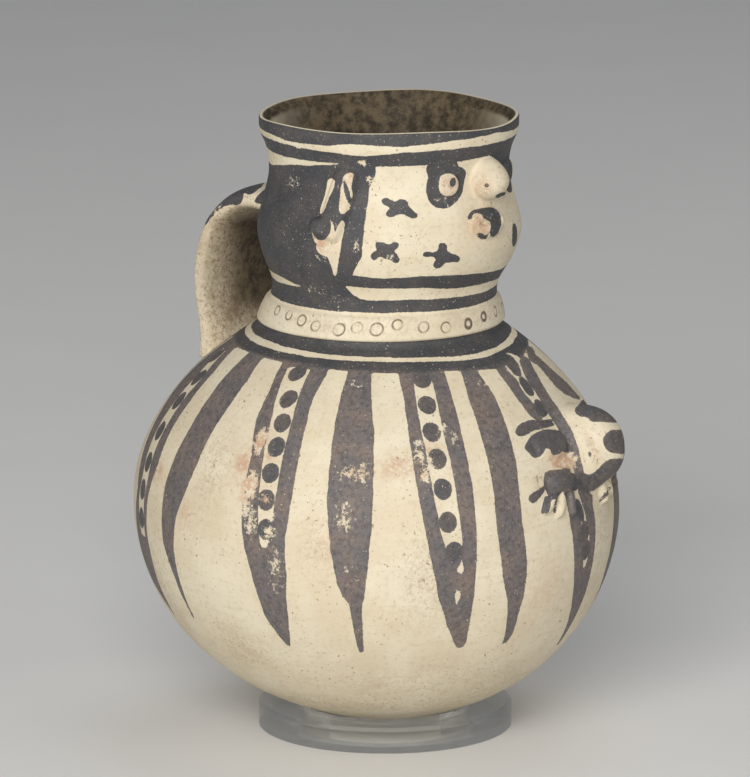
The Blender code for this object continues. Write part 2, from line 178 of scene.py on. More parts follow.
def grid_mesh(name, grid, wrap=False, poles=False):
    """Quads between neighbouring rows and columns of a grid that closes round its columns; wrap joins its last
    row to its first, and poles closes both ends with a fan on their middle."""
    rows, columns = grid.shape[:2]
    index = np.arange(rows * columns).reshape(rows, columns)
    lower = index if wrap else index[:-1]
    upper = np.roll(index, -1, axis=0) if wrap else index[1:]
    quads = np.stack((lower, np.roll(lower, -1, 1), np.roll(upper, -1, 1), upper), -1).reshape(-1, 4)
    points, faces = grid.reshape(-1, 3), quads.tolist()
    if poles:
        points = np.vstack((points, grid[0].mean(0), grid[-1].mean(0)))
        first, last = rows * columns, rows * columns + 1
        faces += [(first, b, a) for a, b in zip(index[0], np.roll(index[0], -1))]
        faces += [(a, b, last) for a, b in zip(index[-1], np.roll(index[-1], -1))]
    mesh = bpy.data.meshes.new(name)
    mesh.from_pydata(points.tolist(), [], faces)
    mesh.update()
    mesh.shade_smooth()
    return mesh


def add_piece(mesh, node, material, fields=None):
    """Shows a mesh as a piece that stands for a node, with its paint fields as attributes."""
    for key, values in (fields or {}).items():
        attribute = mesh.attributes.new(key, "FLOAT", "POINT")
        attribute.data.foreach_set("value", np.asarray(values, np.float32))
    mesh.materials.append(material)
    piece = bpy.data.objects.new(mesh.name, mesh)
    bpy.context.scene.collection.objects.link(piece)
    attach(piece, "root")
    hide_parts(node)
    return piece


# ---------------------------------------------------------------- pressed-on clay

def surface_frame(azimuth, rise, level=False):
    """Origin and directions (sideways, along the wall, outward) at a place; level keeps outward horizontal."""
    phi, step = math.radians(azimuth), 0.0005
    slope = 0.0 if level else float(outer_radius(rise + step) - outer_radius(rise - step)) / (2 * step)
    out = np.array((math.sin(phi), -math.cos(phi), 0.0))
    side = np.array((math.cos(phi), math.sin(phi), 0.0))
    along = (out * slope + (0, 0, 1)) / math.hypot(slope, 1)
    place = out * outer_radius(rise) + (0, float(lean(rise)) + AXIS_Y, rise + BELLY_HEIGHT)
    return place, np.stack((side, along, np.cross(side, along)))


NEWTON_STEPS, LEAST_FACING = 4, 0.35


def depth_of_wall(origin, axes, x, y):
    """How far out the plain wall lies over each place of a frame: a few Newton steps onto the wall's radius."""
    n = np.zeros_like(x)
    for _ in range(NEWTON_STEPS):
        points = origin + x[..., None] * axes[0] + y[..., None] * axes[1] + n[..., None] * axes[2]
        phi = np.radians(chart_of(points)[0])
        facing = axes[2, 0] * np.sin(phi) - axes[2, 1] * np.cos(phi)
        n = n - off_wall(points) / np.maximum(facing, LEAST_FACING)
    return n


def turned_axes(axes, angle):
    """A place's directions turned in the wall's plane, by degrees from sideways towards up."""
    cos, sin = math.cos(math.radians(angle)), math.sin(math.radians(angle))
    return np.stack((cos * axes[0] + sin * axes[1], cos * axes[1] - sin * axes[0], axes[2]))


# A lump's profile: steps over its top, down its side and out along the wall; how far out it starts, in half
# sizes; how deep a point may lie to be carried, in half sizes; and over how many places each point is averaged
TOP_STEPS, SIDE_STEPS, FOOT_STEPS = 28, 8, 13
FOOT_SPREAD, LUMP_DEPTH, AVERAGED = 1.5, 0.6, 7


def carry_over(points, origin, axes, sizes, squareness, fillet, shape):
    """Carries the grid's points over a lump. Along each ray from the lump's middle the way runs down the
    lump's side, round a fillet and out along the wall, and each point keeps its share of that way's length."""
    local = (points - origin) @ axes.T
    a, b, reach = sizes
    q = np.hypot(local[..., 0] / a, local[..., 1] / b)
    near = (q < FOOT_SPREAD) & (np.abs(local[..., 2]) < LUMP_DEPTH * max(a, b)) & (q > 1e-6)
    place, q = local[near], q[near]
    cos, sin = place[:, 0] / a / q, place[:, 1] / b / q
    tilt = np.linspace(0, math.pi / 2, TOP_STEPS)
    out = np.linspace(1.0, FOOT_SPREAD, FOOT_STEPS + 1)[1:]
    rho = np.concatenate((np.sin(tilt), np.ones(SIDE_STEPS), out))
    height = np.concatenate((np.cos(tilt), np.zeros(SIDE_STEPS + FOOT_STEPS)))
    ball_x = squared(cos[:, None] * rho, squareness)
    ball_y = squared(sin[:, None] * rho, squareness)
    ball_x, ball_y, ball_z = shape(ball_x, ball_y, height[None, :] ** squareness + 0 * ball_x)
    away = ramp(rho, 1, FOOT_SPREAD - 1)
    x = a * (ball_x * (1 - away) + cos[:, None] * rho * away)
    y = b * (ball_y * (1 - away) + sin[:, None] * rho * away)
    wall = depth_of_wall(origin, axes, x, y)
    sink = np.concatenate((np.zeros(TOP_STEPS), np.linspace(0, 1, SIDE_STEPS), np.ones(FOOT_STEPS)))
    depth = np.maximum(reach * ball_z * (1 - sink) + wall * sink, wall)
    path = np.stack((x, y, depth), -1)
    steps = np.linalg.norm(np.diff(path, axis=1), axis=2)
    lengths = np.concatenate((np.zeros((len(path), 1)), np.cumsum(steps, 1)), 1)
    total = lengths[:, -1]
    target = q / FOOT_SPREAD * total
    room = np.minimum(fillet, np.minimum(target, total - target))
    moved = np.zeros_like(place)
    offsets = np.linspace(-1, 1, AVERAGED)
    weights = 1 - 0.5 * np.abs(offsets)
    row = np.arange(len(path))
    for offset, weight in zip(offsets, weights / weights.sum()):
        goal = target + offset * room
        k = np.clip((lengths < goal[:, None]).sum(1) - 1, 0, path.shape[1] - 2)
        gap = np.maximum(lengths[row, k + 1] - lengths[row, k], 1e-9)
        share = np.clip((goal - lengths[row, k]) / gap, 0, 1)[:, None]
        moved += weight * (path[row, k] * (1 - share) + path[row, k + 1] * share)
    result = points.copy()
    result[near] = origin + moved @ axes
    return result


# How far out a pressed-on lump's joint reaches, in squared half sizes, and how sharply it meets what lies below
JOINT_REACH, JOINT_SHARPNESS = 2.6, 3.0


def press_on(points, origin, axes, sizes, squareness=0.8, fillet=0.0012, shape=None):
    """Raises points to a half ball of three half sizes, joined to what lies below by a soft maximum,
    log(1 + exp(gap)) less its height far from the joint."""
    local = (points - origin) @ axes.T
    a, b, reach = sizes
    u, v = np.abs(local[..., 0] / a) ** (1 / squareness), np.abs(local[..., 1] / b) ** (1 / squareness)
    near = (u * u + v * v < JOINT_REACH) & (np.abs(local[..., 2]) < LUMP_DEPTH * max(a, b) + reach)
    place, u, v = local[near], u[near], v[near]
    wall = depth_of_wall(origin, axes, place[:, 0], place[:, 1])
    inside = 1 - u * u - v * v
    top = np.sqrt(np.clip(inside, 0, 1)) ** squareness
    if shape is not None:
        top = top * shape(place[:, 0] / a, place[:, 1] / b)
    goal = np.where(inside > 0, np.maximum(reach * top, wall), wall + reach * np.maximum(inside, -1.0))
    gap = JOINT_SHARPNESS * (goal - place[:, 2]) / fillet
    place[:, 2] += fillet / JOINT_SHARPNESS * (np.logaddexp(0, gap) - np.log(2) * np.exp(-gap ** 2))
    result = points.copy()
    result[near] = origin + place @ axes
    return result


def nose_form(x, y, z):
    """Narrower and lower towards the brow, with a dropped tip."""
    share = ramp(y, -0.15, 1.15)
    return x * (1 - 0.12 * share), y, z * (1 - 0.28 * share)


def snout_form(x, y, z):
    """Level along its back, drawn in below, blunt in front."""
    return x, y - 0.12 * z, z * (1 - 0.16 * smooth_step(-y))


def lips_form(x, y):
    """The slit pressed between the lips, fading out before their corners."""
    return 1 - 0.40 * ramp(np.abs(x), 0.85, -0.30) * np.exp(-((y / 0.22) ** 2))


WAVE_HEIGHT, WAVE_RISE = 0.0001, 0.010
WAVES_FROM, WAVES_FADE = -0.070, 0.010


def uneven(points):
    """Hand-built clay: a few slow waves, 0.2 mm high, round and up the wall."""
    azimuth, rise = chart_of(points)
    phi, h = np.radians(azimuth), rise / WAVE_RISE
    wave = np.sin(3 * phi + 0.7 * h) + 0.7 * np.sin(7 * phi - 0.9 * h + 1.3) + 0.5 * np.sin(13 * phi + 1.7 * h + 0.4)
    out = np.stack((np.sin(phi), -np.cos(phi), 0 * phi), -1)
    return points + WAVE_HEIGHT * (wave * ramp(rise, WAVES_FROM, WAVES_FADE))[..., None] * out


# ---------------------------------------------------------------- the paint's chart

dense_rise = np.linspace(-BELLY_DROP, RIM_RISE, 2400)
dense_radius = outer_radius(dense_rise)
dense_arc = np.concatenate(([0.0], np.cumsum(np.hypot(np.diff(dense_rise), np.diff(dense_radius)))))


def radius_mm(height):
    """The wall's radius at a height in millimetres."""
    return np.interp(height * MM - BELLY_HEIGHT, dense_rise, dense_radius) / MM


def arc_mm(height):
    """Length along the wall's profile up to a height in millimetres."""
    return np.interp(height * MM - BELLY_HEIGHT, dense_rise, dense_arc) / MM


def turn_between(first, second):
    """Azimuth from the second to the first, between -180 and 180 degrees."""
    return (first - second + 180) % 360 - 180


def polygon_depth(x, y, outline):
    """Distance to an outline's nearest side, positive inside (a point is inside when its ray crosses an odd
    number of sides)."""
    outline = np.asarray(outline, float)
    nearest = np.full(x.shape, 1e9)
    inside = np.zeros(x.shape, bool)
    for (x0, y0), (x1, y1) in zip(outline, np.roll(outline, -1, 0)):
        dx, dy = x1 - x0, y1 - y0
        t = np.clip(((x - x0) * dx + (y - y0) * dy) / max(dx * dx + dy * dy, 1e-12), 0, 1)
        nearest = np.minimum(nearest, np.hypot(x - x0 - t * dx, y - y0 - t * dy))
        crosses = (y0 > y) != (y1 > y)
        inside ^= crosses & (x < x0 + (y - y0) * dx / (dy if dy else 1e-12))
    return np.where(inside, nearest, -nearest)


def rounded(outline, passes=2):
    """Cuts each corner at a quarter of both its sides, again and again, as a brush rounds it."""
    points = np.asarray(outline, float)
    for _ in range(passes):
        after = np.roll(points, -1, 0)
        points = np.stack((points * 0.75 + after * 0.25, points * 0.25 + after * 0.75), 1).reshape(-1, 2)
    return points


FOCAL_PIXELS = CAMERA_LENS / CAMERA_FILM * PHOTO_HEIGHT
PIXEL_MM = CAMERA_DISTANCE / FOCAL_PIXELS / MM


def direction(azimuth, elevation):
    """Unit direction from the jar towards an azimuth and elevation in degrees."""
    a, e = math.radians(azimuth), math.radians(elevation)
    return np.array((math.sin(a) * math.cos(e), -math.cos(a) * math.cos(e), math.sin(e)))


def view_axes():
    """The photograph's place and its directions to the right, up and away."""
    a = math.radians(CAMERA_AZIMUTH)
    right, away = np.array((math.cos(a), math.sin(a), 0.0)), -direction(CAMERA_AZIMUTH, CAMERA_ELEVATION)
    place = np.array((0, AXIS_Y, CAMERA_AIM_HEIGHT)) + right * CAMERA_AIM_SIDE - away * CAMERA_DISTANCE
    return place, right, np.cross(right, away), away


def in_photo(points):
    """Where points show in the photograph, in its pixels from the top left: side or height over depth."""
    place, right, up, away = view_axes()
    offset = points - place
    scale = FOCAL_PIXELS / (offset @ away)
    return PHOTO_WIDTH / 2 + scale * (offset @ right), PHOTO_HEIGHT / 2 - scale * (offset @ up)


# Steps along the line of sight: how many, how long at most, how near the wall and how far back they may end,
# how far on the slope is felt, and the least slope
SIGHT_STEPS, SIGHT_STEP, SIGHT_ERROR, SIGHT_REACH = 12, 0.003, 0.0004, 0.040
SIGHT_PROBE, SIGHT_SLOPE = 0.0002, -0.15


def behind(points):
    """Wall points that raised points cover in the photograph: secant steps along the line of sight."""
    away = view_axes()[3]
    far, gap = np.zeros(points.shape[:-1]), off_wall(points)
    for _ in range(SIGHT_STEPS):
        slope = (off_wall(points + (far + SIGHT_PROBE)[..., None] * away) - gap) / SIGHT_PROBE
        far = far + np.clip(-gap / np.minimum(slope, SIGHT_SLOPE), -SIGHT_STEP, SIGHT_STEP)
        gap = off_wall(points + far[..., None] * away)
    hit = (np.abs(gap) < SIGHT_ERROR) & (far < SIGHT_REACH)
    return np.where(hit[..., None], points + far[..., None] * away, points)


# The depth that stands for "nowhere near" a shape, in millimetres
NOWHERE = -9.0
# How far round from the camera's azimuth raised points (higher than this, in millimetres) take covered places
RAISED, RAISED_LEFT, RAISED_RIGHT = 0.25, -75, 100
# How far round a point still faces the photograph, on the plain wall and where it is raised
FACING_RIGHT, WELL_RAISED, WELL_RAISED_RIGHT = 89, 0.4, 105


class Wall:
    """Outer points of the jar with their chart places, on which the paint is laid out. A raised point on the
    side that shows takes the place that it covers, so that a shape runs on over the relief as it is seen."""

    def __init__(self, points):
        self.raised, self.height = off_wall(points) / MM, points[..., 2] / MM
        self.own = chart_of(points)[0]
        turn = self.own - CAMERA_AZIMUTH
        shown = (self.raised > RAISED) & (turn > RAISED_LEFT) & (turn < RAISED_RIGHT)
        placed = points.copy()
        placed[shown] = behind(points[shown])
        self.phi, rise = chart_of(placed)
        self.z = (rise + BELLY_HEIGHT) / MM
        self.arc = arc_mm(self.z)
        self.radius = radius_mm(self.z)
        self.photo = in_photo(points)
        self.facing = (turn < FACING_RIGHT) | ((self.raised > WELL_RAISED) & (turn < WELL_RAISED_RIGHT))

    def turned_to(self, phi):
        """The same wall with other azimuths, to repeat or mirror what is painted."""
        other = copy.copy(self)
        other.phi = phi
        return other

    def drawn(self, outline, passes=1):
        """Depth inside an outline of photograph pixels, on what faces the photograph."""
        depth = polygon_depth(*self.photo, rounded(outline, passes)) * PIXEL_MM
        return np.where(self.facing, depth, NOWHERE)

    def spot(self, x, y, half_width, half_height):
        """Depth inside an oval of photograph pixels, on what faces the photograph."""
        scale = np.hypot((self.photo[0] - x) / half_width, (self.photo[1] - y) / half_height)
        return np.where(self.facing, (1 - scale) * min(half_width, half_height) * PIXEL_MM, NOWHERE)

    def across(self, middle):
        """Distance round the wall from an azimuth, in millimetres."""
        return np.radians(turn_between(self.phi, middle)) * self.radius

    def area(self, outline, passes=2):
        """Depth inside an outline of chart places, in millimetres."""
        outline = np.array(outline, float)
        middle = outline[:, 0].mean()
        x = np.radians(outline[:, 0] - middle) * radius_mm(outline[:, 1])
        sides = rounded(np.stack((x, arc_mm(outline[:, 1])), -1), passes)
        return polygon_depth(self.across(middle), self.arc, sides)

    def blob(self, azimuth, height, half_width, half_height, lean_over=0.0):
        """Depth inside an oval dab of the brush."""
        x, y = self.across(azimuth), self.arc - arc_mm(height)
        x, y = x + lean_over * y, y - lean_over * x
        scale = np.hypot(x / half_width, y / half_height)
        return (1 - scale) * min(half_width, half_height)

    def stripe(self, rows, turn=0.0):
        """Depth inside a stripe given by rows of (height, left azimuth, right azimuth), top first, moved round
        by a turn."""
        heights, lefts, rights = np.array(rows, float)[::-1].T
        left, right = np.interp(self.z, heights, lefts), np.interp(self.z, heights, rights)
        half = np.radians(right - left) / 2 * self.radius
        depth = half - np.abs(self.across((left + right) / 2 + turn))
        return np.minimum.reduce((depth, self.arc - arc_mm(heights[0]), arc_mm(heights[-1]) - self.arc))

    def over(self, edge):
        """Distance above an edge line given as (azimuth, height) from left to right; it closes round the back."""
        edge = np.array(edge, float)
        height = np.interp(self.phi, edge[:, 0], edge[:, 1], period=360)
        return self.arc - arc_mm(height)

    def glow(self, azimuth, height, half_width, half_height):
        """1 in the middle of a soft patch, falling off as exp(-q^2)."""
        x, y = self.across(azimuth), self.arc - arc_mm(height)
        return np.exp(-((x / half_width) ** 2 + (y / half_height) ** 2))


def union(*depths):
    """Inside any of the shapes."""
    return np.maximum.reduce(depths)


def cut(depth, *holes):
    """Inside a shape and outside all the holes."""
    return np.minimum.reduce((depth,) + tuple(-hole for hole in holes))


# Stripes: rows of (height, left, right), then the gap inside a dotted one, then its dots
STRIPE_A = (
    (140, -147, -129), (131, -146, -122), (122, -144.5, -120.7), (112, -139, -120.6), (100, -135.5, -119.5),
    (88, -131.5, -121.4), (76, -133, -121.9), (65, -134.6, -121), (56, -131, -121.8), (50, -126, -121.9),
    (44.5, -123, -122.4),
)
GAP_A = (
    (136, -138, -132), (128, -131.5, -126), (115, -131, -125), (104, -130, -124.5), (94, -128.3, -123.5),
    (85, -128.8, -124.2), (73, -127.2, -123.6),
)
DOTS_A = (
    (-134.5, 134), (-129, 127.5), (-128.3, 119.7), (-127.6, 109.5), (-126.5, 99), (-126.2, 89.3), (-126, 79.3),
)
STRIPE_B = (
    (140, -114.2, -104.3), (132, -113.4, -101.1), (124.7, -112.2, -100.9), (115, -111.8, -101.9),
    (104, -112.5, -102.3), (95, -112.9, -103.8), (86, -112.6, -106.1), (74.6, -112.2, -107.4),
    (63.8, -109.5, -107.5), (47.8, -108, -107.3),
)
STRIPE_C = (
    (140, -93, -70.6), (137, -91.6, -71.2), (129.5, -89.2, -72.6), (121, -88.4, -72.2), (111, -85.7, -72.2),
    (97, -85.3, -72.5), (85.5, -84.6, -73.4), (79.6, -83.9, -73.6), (72, -82.6, -73.3), (63.8, -81.5, -73.9),
    (55.5, -80.6, -74.2), (47.4, -77.8, -75), (44.3, -76.4, -75.5),
)
GAP_C = (
    (137.4, -88.4, -78.4), (134.5, -87.2, -78.3), (122.7, -83.5, -76.9), (113, -82.3, -76.6),
    (105, -81.5, -76.5), (95, -80.8, -76.7), (85, -80.1, -77.4), (81, -79.4, -78),
)
DOTS_C = (
    (-82.8, 136), (-80.9, 128.6), (-79.7, 121.5), (-79.2, 114.2), (-79.1, 106), (-79, 97.2), (-78.3, 87.4),
)
STRIPE_D = (
    (140, -63.3, -56), (137, -63.5, -54.5), (121, -63.8, -52.5), (99, -63.7, -52.8), (90, -63.2, -53.1),
    (78, -62.2, -53.9), (70, -61.2, -54.5), (64.8, -59.9, -55), (62.6, -58.5, -55.6), (53, -58, -55.7),
    (43.6, -57.2, -55.8),
)
STRIPE_E = (
    (140, -45, -26), (137, -44.3, -26.4), (129.5, -43.1, -27.1), (117, -42.8, -27.9), (105, -42.2, -28.1),
    (92.5, -41.1, -28.2), (78, -39.4, -28.3), (64.4, -37.5, -28.6), (54, -34.9, -28.9), (46, -32.2, -28.8),
    (44, -31, -29.6),
)
GAP_E = (
    (134.5, -39.2, -32.3), (125, -39.4, -32.8), (118, -39, -33), (107.7, -38.6, -32.6), (95, -37.7, -32.4),
    (87.7, -36.9, -32), (82, -36, -31.9),
)
DOTS_E = ((-36, 135.1), (-36, 127.8), (-36.3, 119.8), (-36, 111.6), (-35.7, 102), (-35.2, 91), (-33.9, 80.5))
STARS_E = (((-35.4, 74.9), (-33.6, 74.1), (-32.3, 75.6), (-32, 79), (-31.6, 76), (-31.7, 72.2), (-33, 73.6)),
           ((-33.6, 66.6), (-31.9, 66.9), (-32.4, 60.2), (-33.1, 61.5)))
STRIPE_F = (
    (140, -19.5, -13), (136, -20, -12.8), (128, -21.6, -11.8), (118, -22.3, -13.1), (110, -22.5, -14.1),
    (99, -22.7, -15.5), (88, -23, -15.9), (79, -22.3, -15.1), (69, -21.2, -14.5), (61.6, -19.5, -14.7),
    (55, -18.5, -15), (47.3, -17.6, -15), (43.4, -17.4, -16.2),
)
STRIPE_G_LOW = ((80.5, 0, 10.5), (66, 2.4, 11), (54.7, 4.9, 11.8), (44, 8.6, 12.1), (35, 11.4, 12.6))
GAP_G_LOW = ((82, 3.1, 7.1), (72, 5, 7.9), (66, 6.4, 7.2))
DOTS_G_LOW = ((5.3, 79.4), (6.4, 72.6))
STRIPE_H = (
    (94, 24.1, 33.3), (84, 24.2, 33.3), (74, 23.8, 32.6), (60, 23.3, 30.5), (50, 25.4, 29), (44, 27, 28.4),
)

# Drawn over the relief at the chest, as photograph pixels
G_LEFT = (
    (492.6, 365.5), (496.4, 367.4), (502.8, 377), (510.4, 387.2), (519.3, 399.9), (528.3, 412.7),
    (536.6, 420.1), (540.4, 420.4), (541, 417.2), (537.2, 411.4), (532.1, 403.1), (521, 390.4), (517, 380.8),
    (509.1, 373.4), (503.4, 366.4), (501.5, 364.2),
)
G_DOT_1 = (
    (502.8, 352.8), (507.9, 354.3), (513.6, 358.5), (518.7, 364.9), (521, 370.6), (520.2, 376.6),
    (516.1, 375.7), (511.7, 371.2), (506.6, 365.5), (502.1, 359.1),
)
G_DOT_2 = (
    (520, 376.1), (524.7, 378.3), (529.8, 384.6), (533.4, 390.4), (534.3, 395.1), (530.6, 396.1),
    (525.1, 391.7), (521, 385.3), (519.1, 379.5),
)
G_DOT_3 = (
    (534.6, 398.9), (540, 400.2), (544.8, 407), (548, 413.3), (546.4, 416.3), (541, 417), (537.4, 411.4),
    (534.6, 405.1),
)
G_RIGHT = (
    (520, 359.1), (524.4, 356.6), (528.3, 359.1), (534.6, 373.2), (543.6, 388.5), (553.8, 403.8),
    (561.4, 415.3), (569.3, 426.7), (574.4, 439.5), (578.3, 452.2), (581.3, 465), (583.8, 473.3), (579.3, 479),
    (575.2, 472.7), (573.5, 461.2), (571.2, 451), (566.5, 442), (561.4, 431.8), (549.9, 415.3), (543.6, 403.8),
    (534.6, 389.7), (527, 378.3), (521.9, 366.8),
)
H_UPPER = (
    (527, 347), (532.1, 347.7), (534, 354), (541, 360.4), (557.6, 375.7), (566.5, 383.4), (572.9, 391),
    (581.1, 399.6), (571.6, 396.6), (562.7, 391.7), (556.3, 386.2), (544.8, 371.9), (538.5, 364.2),
    (530.8, 360.4), (528.3, 355.3),
)
CREATURE_CAP = (
    (574.8, 411.4), (576.7, 407.6), (580.6, 402.5), (585.7, 397), (598.4, 398), (606, 402), (614, 408),
    (621, 416), (625, 422.9), (611.2, 422.5), (599.7, 421), (592, 421.6), (589.5, 417.8), (579.3, 415.9),
)
CREATURE_EYE = (
    (602.9, 440.8), (604.8, 435.7), (609.3, 431.2), (615.6, 429.9), (626, 429.9), (632, 437), (632, 446),
    (626, 453.5), (617.6, 453.5), (609.9, 452.2), (604.8, 447.1),
)
CREATURE_JAW = (
    (578, 471.4), (583.8, 472.7), (588.2, 475.2), (593.3, 473.9), (601, 466.3), (607.3, 461.2), (612.4, 458.6),
    (630, 459.3), (630, 466), (616, 474), (608, 480), (599, 486.5), (592, 491.1), (585.7, 492.4), (578, 490.5),
    (575.5, 480.3),
)
NEAR_PAW = (
    (546.1, 471.4), (553.8, 470.1), (569.1, 467.9), (570.1, 473.9), (574.2, 473.7), (579.3, 479),
    (579.3, 485.4), (575.5, 491.8), (565.3, 488), (561.4, 493.1), (556.3, 498.2), (551.2, 499.7),
    (547.4, 493.7), (544.2, 486.7), (544.2, 479),
)
FINGERS = (
    ((543.6, 486.4), (545.2, 490.5), (539.7, 497.5), (534, 503.5), (529.3, 501), (528.9, 496.9), (534.6, 491.8)),
    ((544.6, 496.2), (550.6, 497.5), (550.2, 505.8), (548, 514.5), (542.3, 514.5), (541, 510.3), (543.6, 503.3)),
    ((557.6, 497), (559.8, 498), (557.6, 505.8), (555.3, 513.7), (553, 512.8), (554.4, 505.8)),
    ((603.3, 492.8), (605, 493.7), (602, 499.4), (599.9, 503), (598.7, 501.7), (601, 496.9)),
    ((609.3, 486), (611, 487.5), (608, 495), (605.4, 497.1), (605, 495), (607, 491.8)),
)
ARM = (
    (515.5, 431.2), (517.4, 426.7), (523.2, 422.9), (529.5, 420.6), (537.2, 420.1), (544.8, 420.6),
    (553.1, 417.8), (553.8, 419.7), (551.2, 421.6), (556.3, 425.7), (541, 428), (534.6, 429.9), (528.3, 433.8),
    (523.2, 436.3), (518.7, 435.9), (516.1, 433.8),
)
CHEST = (
    (525.1, 445.9), (528.3, 440.8), (530.8, 436.3), (537.2, 432.1), (544.8, 429.9), (553.8, 429.9),
    (559.5, 431.2), (561.4, 433.8), (567.8, 443.3), (572.3, 452.2), (566.5, 452.2), (561.4, 451),
    (557.6, 454.8), (552.5, 454.8), (549.9, 448.4), (544.8, 448.4), (544.2, 452.2), (541, 455.4),
    (536.6, 457.6), (532.7, 456.7), (528.9, 451.6), (525.7, 449.1),
)
G_LOW_LEFT = (
    (562.7, 488), (568.1, 490.5), (572.9, 491.8), (574.8, 499.4), (577.4, 509.6), (579.9, 521.1), (581.2, 536),
    (572.9, 536), (571.6, 524.9), (569.1, 509.6), (565.9, 496.9),
)
G_LOW_RIGHT = (
    (578, 489.2), (583.1, 491.8), (590.8, 492.4), (592, 505.8), (594, 518.6), (594.8, 536), (589.5, 536),
    (587.2, 521.1), (585, 508.4), (581.2, 499.4),
)
G_LOW_DOT = (
    (575.2, 498.8), (579.3, 499.4), (581.8, 507.1), (583.8, 514.7), (583.4, 520.1), (579.9, 520.5),
    (576.7, 512.2), (574.8, 504.5),
)
CREAM_TOP = (
    (505.3, 353.8), (509.1, 352.8), (515.5, 355.1), (518.7, 357.9), (521.9, 360.4), (520.6, 363.6),
    (521.2, 367.4), (520.4, 370.6), (518.7, 364.9), (514.2, 359.1), (509.1, 355.9),
)
# A dark dab in the pit on the creature's side: painted shade, as the pit is not cut into the clay
CREATURE_PIT_SHADE = (589.6, 454.5, 1.7, 4.4)

# Stripes and how far round each is moved: the side that doesn't show repeats the ones that do
DOTTED = (
    (0, STRIPE_A, GAP_A, DOTS_A), (0, STRIPE_C, GAP_C, DOTS_C), (0, STRIPE_E, GAP_E, DOTS_E),
    (0, STRIPE_G_LOW, GAP_G_LOW, DOTS_G_LOW), (88, STRIPE_E, GAP_E, DOTS_E), (174.5, STRIPE_C, GAP_C, DOTS_C),
    (174.8, STRIPE_E, GAP_E, DOTS_E), (220.5, STRIPE_E, GAP_E, DOTS_E),
)
PLAIN = (
    (0, STRIPE_B), (0, STRIPE_D), (0, STRIPE_F), (0, STRIPE_H),
    (128.5, STRIPE_D), (136.5, STRIPE_F), (220.5, STRIPE_D), (-95, STRIPE_D),
)

SHOULDER_EDGE = (
    (-170, 138), (-109, 138.6), (-80, 138.2), (-51, 137.3), (-44, 137.2), (-26, 136.9), (-20, 136.5),
    (-4, 135.4), (10, 136), (28, 137), (90, 137.5), (140, 138),
)
CREAM_LINE_LOW = (
    (-150, 141.4), (-109, 141.1), (-80, 140.7), (-51, 140.5), (-32, 140), (-17.6, 139.3), (-6, 139), (6, 139.5),
    (28, 140.3), (100, 140.6),
)
CREAM_LINE_HIGH = (
    (-150, 142.8), (-109, 142.7), (-80, 142), (-51, 141.7), (-31, 141.2), (-16, 140.6), (-7, 140.5), (7, 140.9),
    (28, 141.8), (100, 142.2),
)

# Soft patches: (azimuth, height, half width, half height, strength), sizes in millimetres
BODY_WEAR = (
    (-84.4, 115.5, 2.6, 6.0, 1.9), (-83.9, 101, 3.4, 6.0, 1.9), (-82.5, 89, 3.6, 7, 1.1),
    (-80.3, 111.4, 1.7, 2, 0.7), (-79.4, 97.6, 3.2, 3.2, 1.0), (-77.6, 86.5, 4, 4.5, 1.1),
    (-76.0, 76, 4, 9, 0.95), (-74.5, 99, 2.4, 9, 0.5), (-58.3, 107.5, 8, 3.8, 1.05),
    (-55.2, 107.5, 3, 6.5, 1.05), (-59.5, 92, 4.5, 6.5, 1.05), (-58, 74, 5, 8, 0.65), (-59.5, 134, 6, 4, 0.8),
    (-40.5, 116, 3, 3, 1.1), (-84, 94, 3, 5, 1.3), (-77, 92, 2.4, 5, 1.0), (-59.5, 97, 5, 3, 0.9),
    (-33, 121, 2.5, 3, 1.1), (-76, 68, 4, 6, 0.8), (-12, 132, 5, 3, 0.8), (-40.5, 112.5, 3.5, 4.5, 1.1),
    (-38.5, 110, 4.5, 6.5, 0.95), (-40, 106.5, 2.4, 4, 1.3), (-30.5, 118.3, 2.4, 5, 0.95),
    (-34, 117.5, 3.5, 3, 0.85), (-33.5, 66, 5, 6, 0.55), (-104.5, 112, 4, 6, 0.5), (-109, 88, 3, 7, 0.5),
    (-18, 62, 3, 8, 0.45), (6, 104.5, 5.5, 4.5, 1.2), (5, 92, 2.5, 6, 0.6), (16, 116, 8, 2, 0.6),
    (-129, 100, 5, 20, 0.45), (-97, 140, 5, 3, 0.7), (-50, 146.3, 6, 1.5, 0.7), (-13, 137, 4, 2, 0.7),
)
BODY_PINK = (
    (-84.6, 115.5, 3.2, 6, 1.3), (-87.6, 108, 3.6, 5, 1.2), (-84.2, 101.5, 4, 7, 1.3),
    (-79.4, 97.6, 3.4, 3.4, 1.0), (-80.3, 111.4, 2, 2.2, 1.0), (-119, 98, 4.5, 3.2, 1.3),
    (-103, 88, 4.5, 5.5, 0.6), (-46.5, 109.5, 7, 4.4, 0.95), (-41, 107.5, 2.6, 4, 1.2), (-37, 114, 4, 3.5, 0.8),
    (-63, 85, 7, 9, 0.45), (1.5, 104.5, 6, 4.2, 2.0), (-57, 107.3, 8, 3.4, 0.7), (-58, 93, 4, 5, 0.4),
    (18.5, 104, 4.5, 8, 0.55), (-5, 63, 14, 16, 0.3), (-57.4, 64.5, 1.8, 2, 1.3), (10, 110, 2, 8, 0.5),
)
BODY_STAIN = (
    (-40, 72, 9, 16, 0.75), (-97, 103, 9, 16, 0.6), (-66, 82, 6, 9, 0.5), (-92, 40, 12, 9, 0.6),
    (-120, 60, 9, 22, 0.5), (17.5, 103, 2.8, 5.5, 1.8), (-8.5, 99.5, 2.6, 3.4, 1.9), (15, 70, 10, 22, 0.45),
    (24, 98, 4, 6, 0.6), (-30, 30, 40, 10, 0.4), (-70, 18, 60, 8, 0.6), (20, 20, 60, 12, 0.6),
    (8.5, 95.5, 4, 2, 1.2), (60, 60, 30, 40, 0.35), (-160, 70, 30, 40, 0.4), (120, 80, 40, 40, 0.35),
)


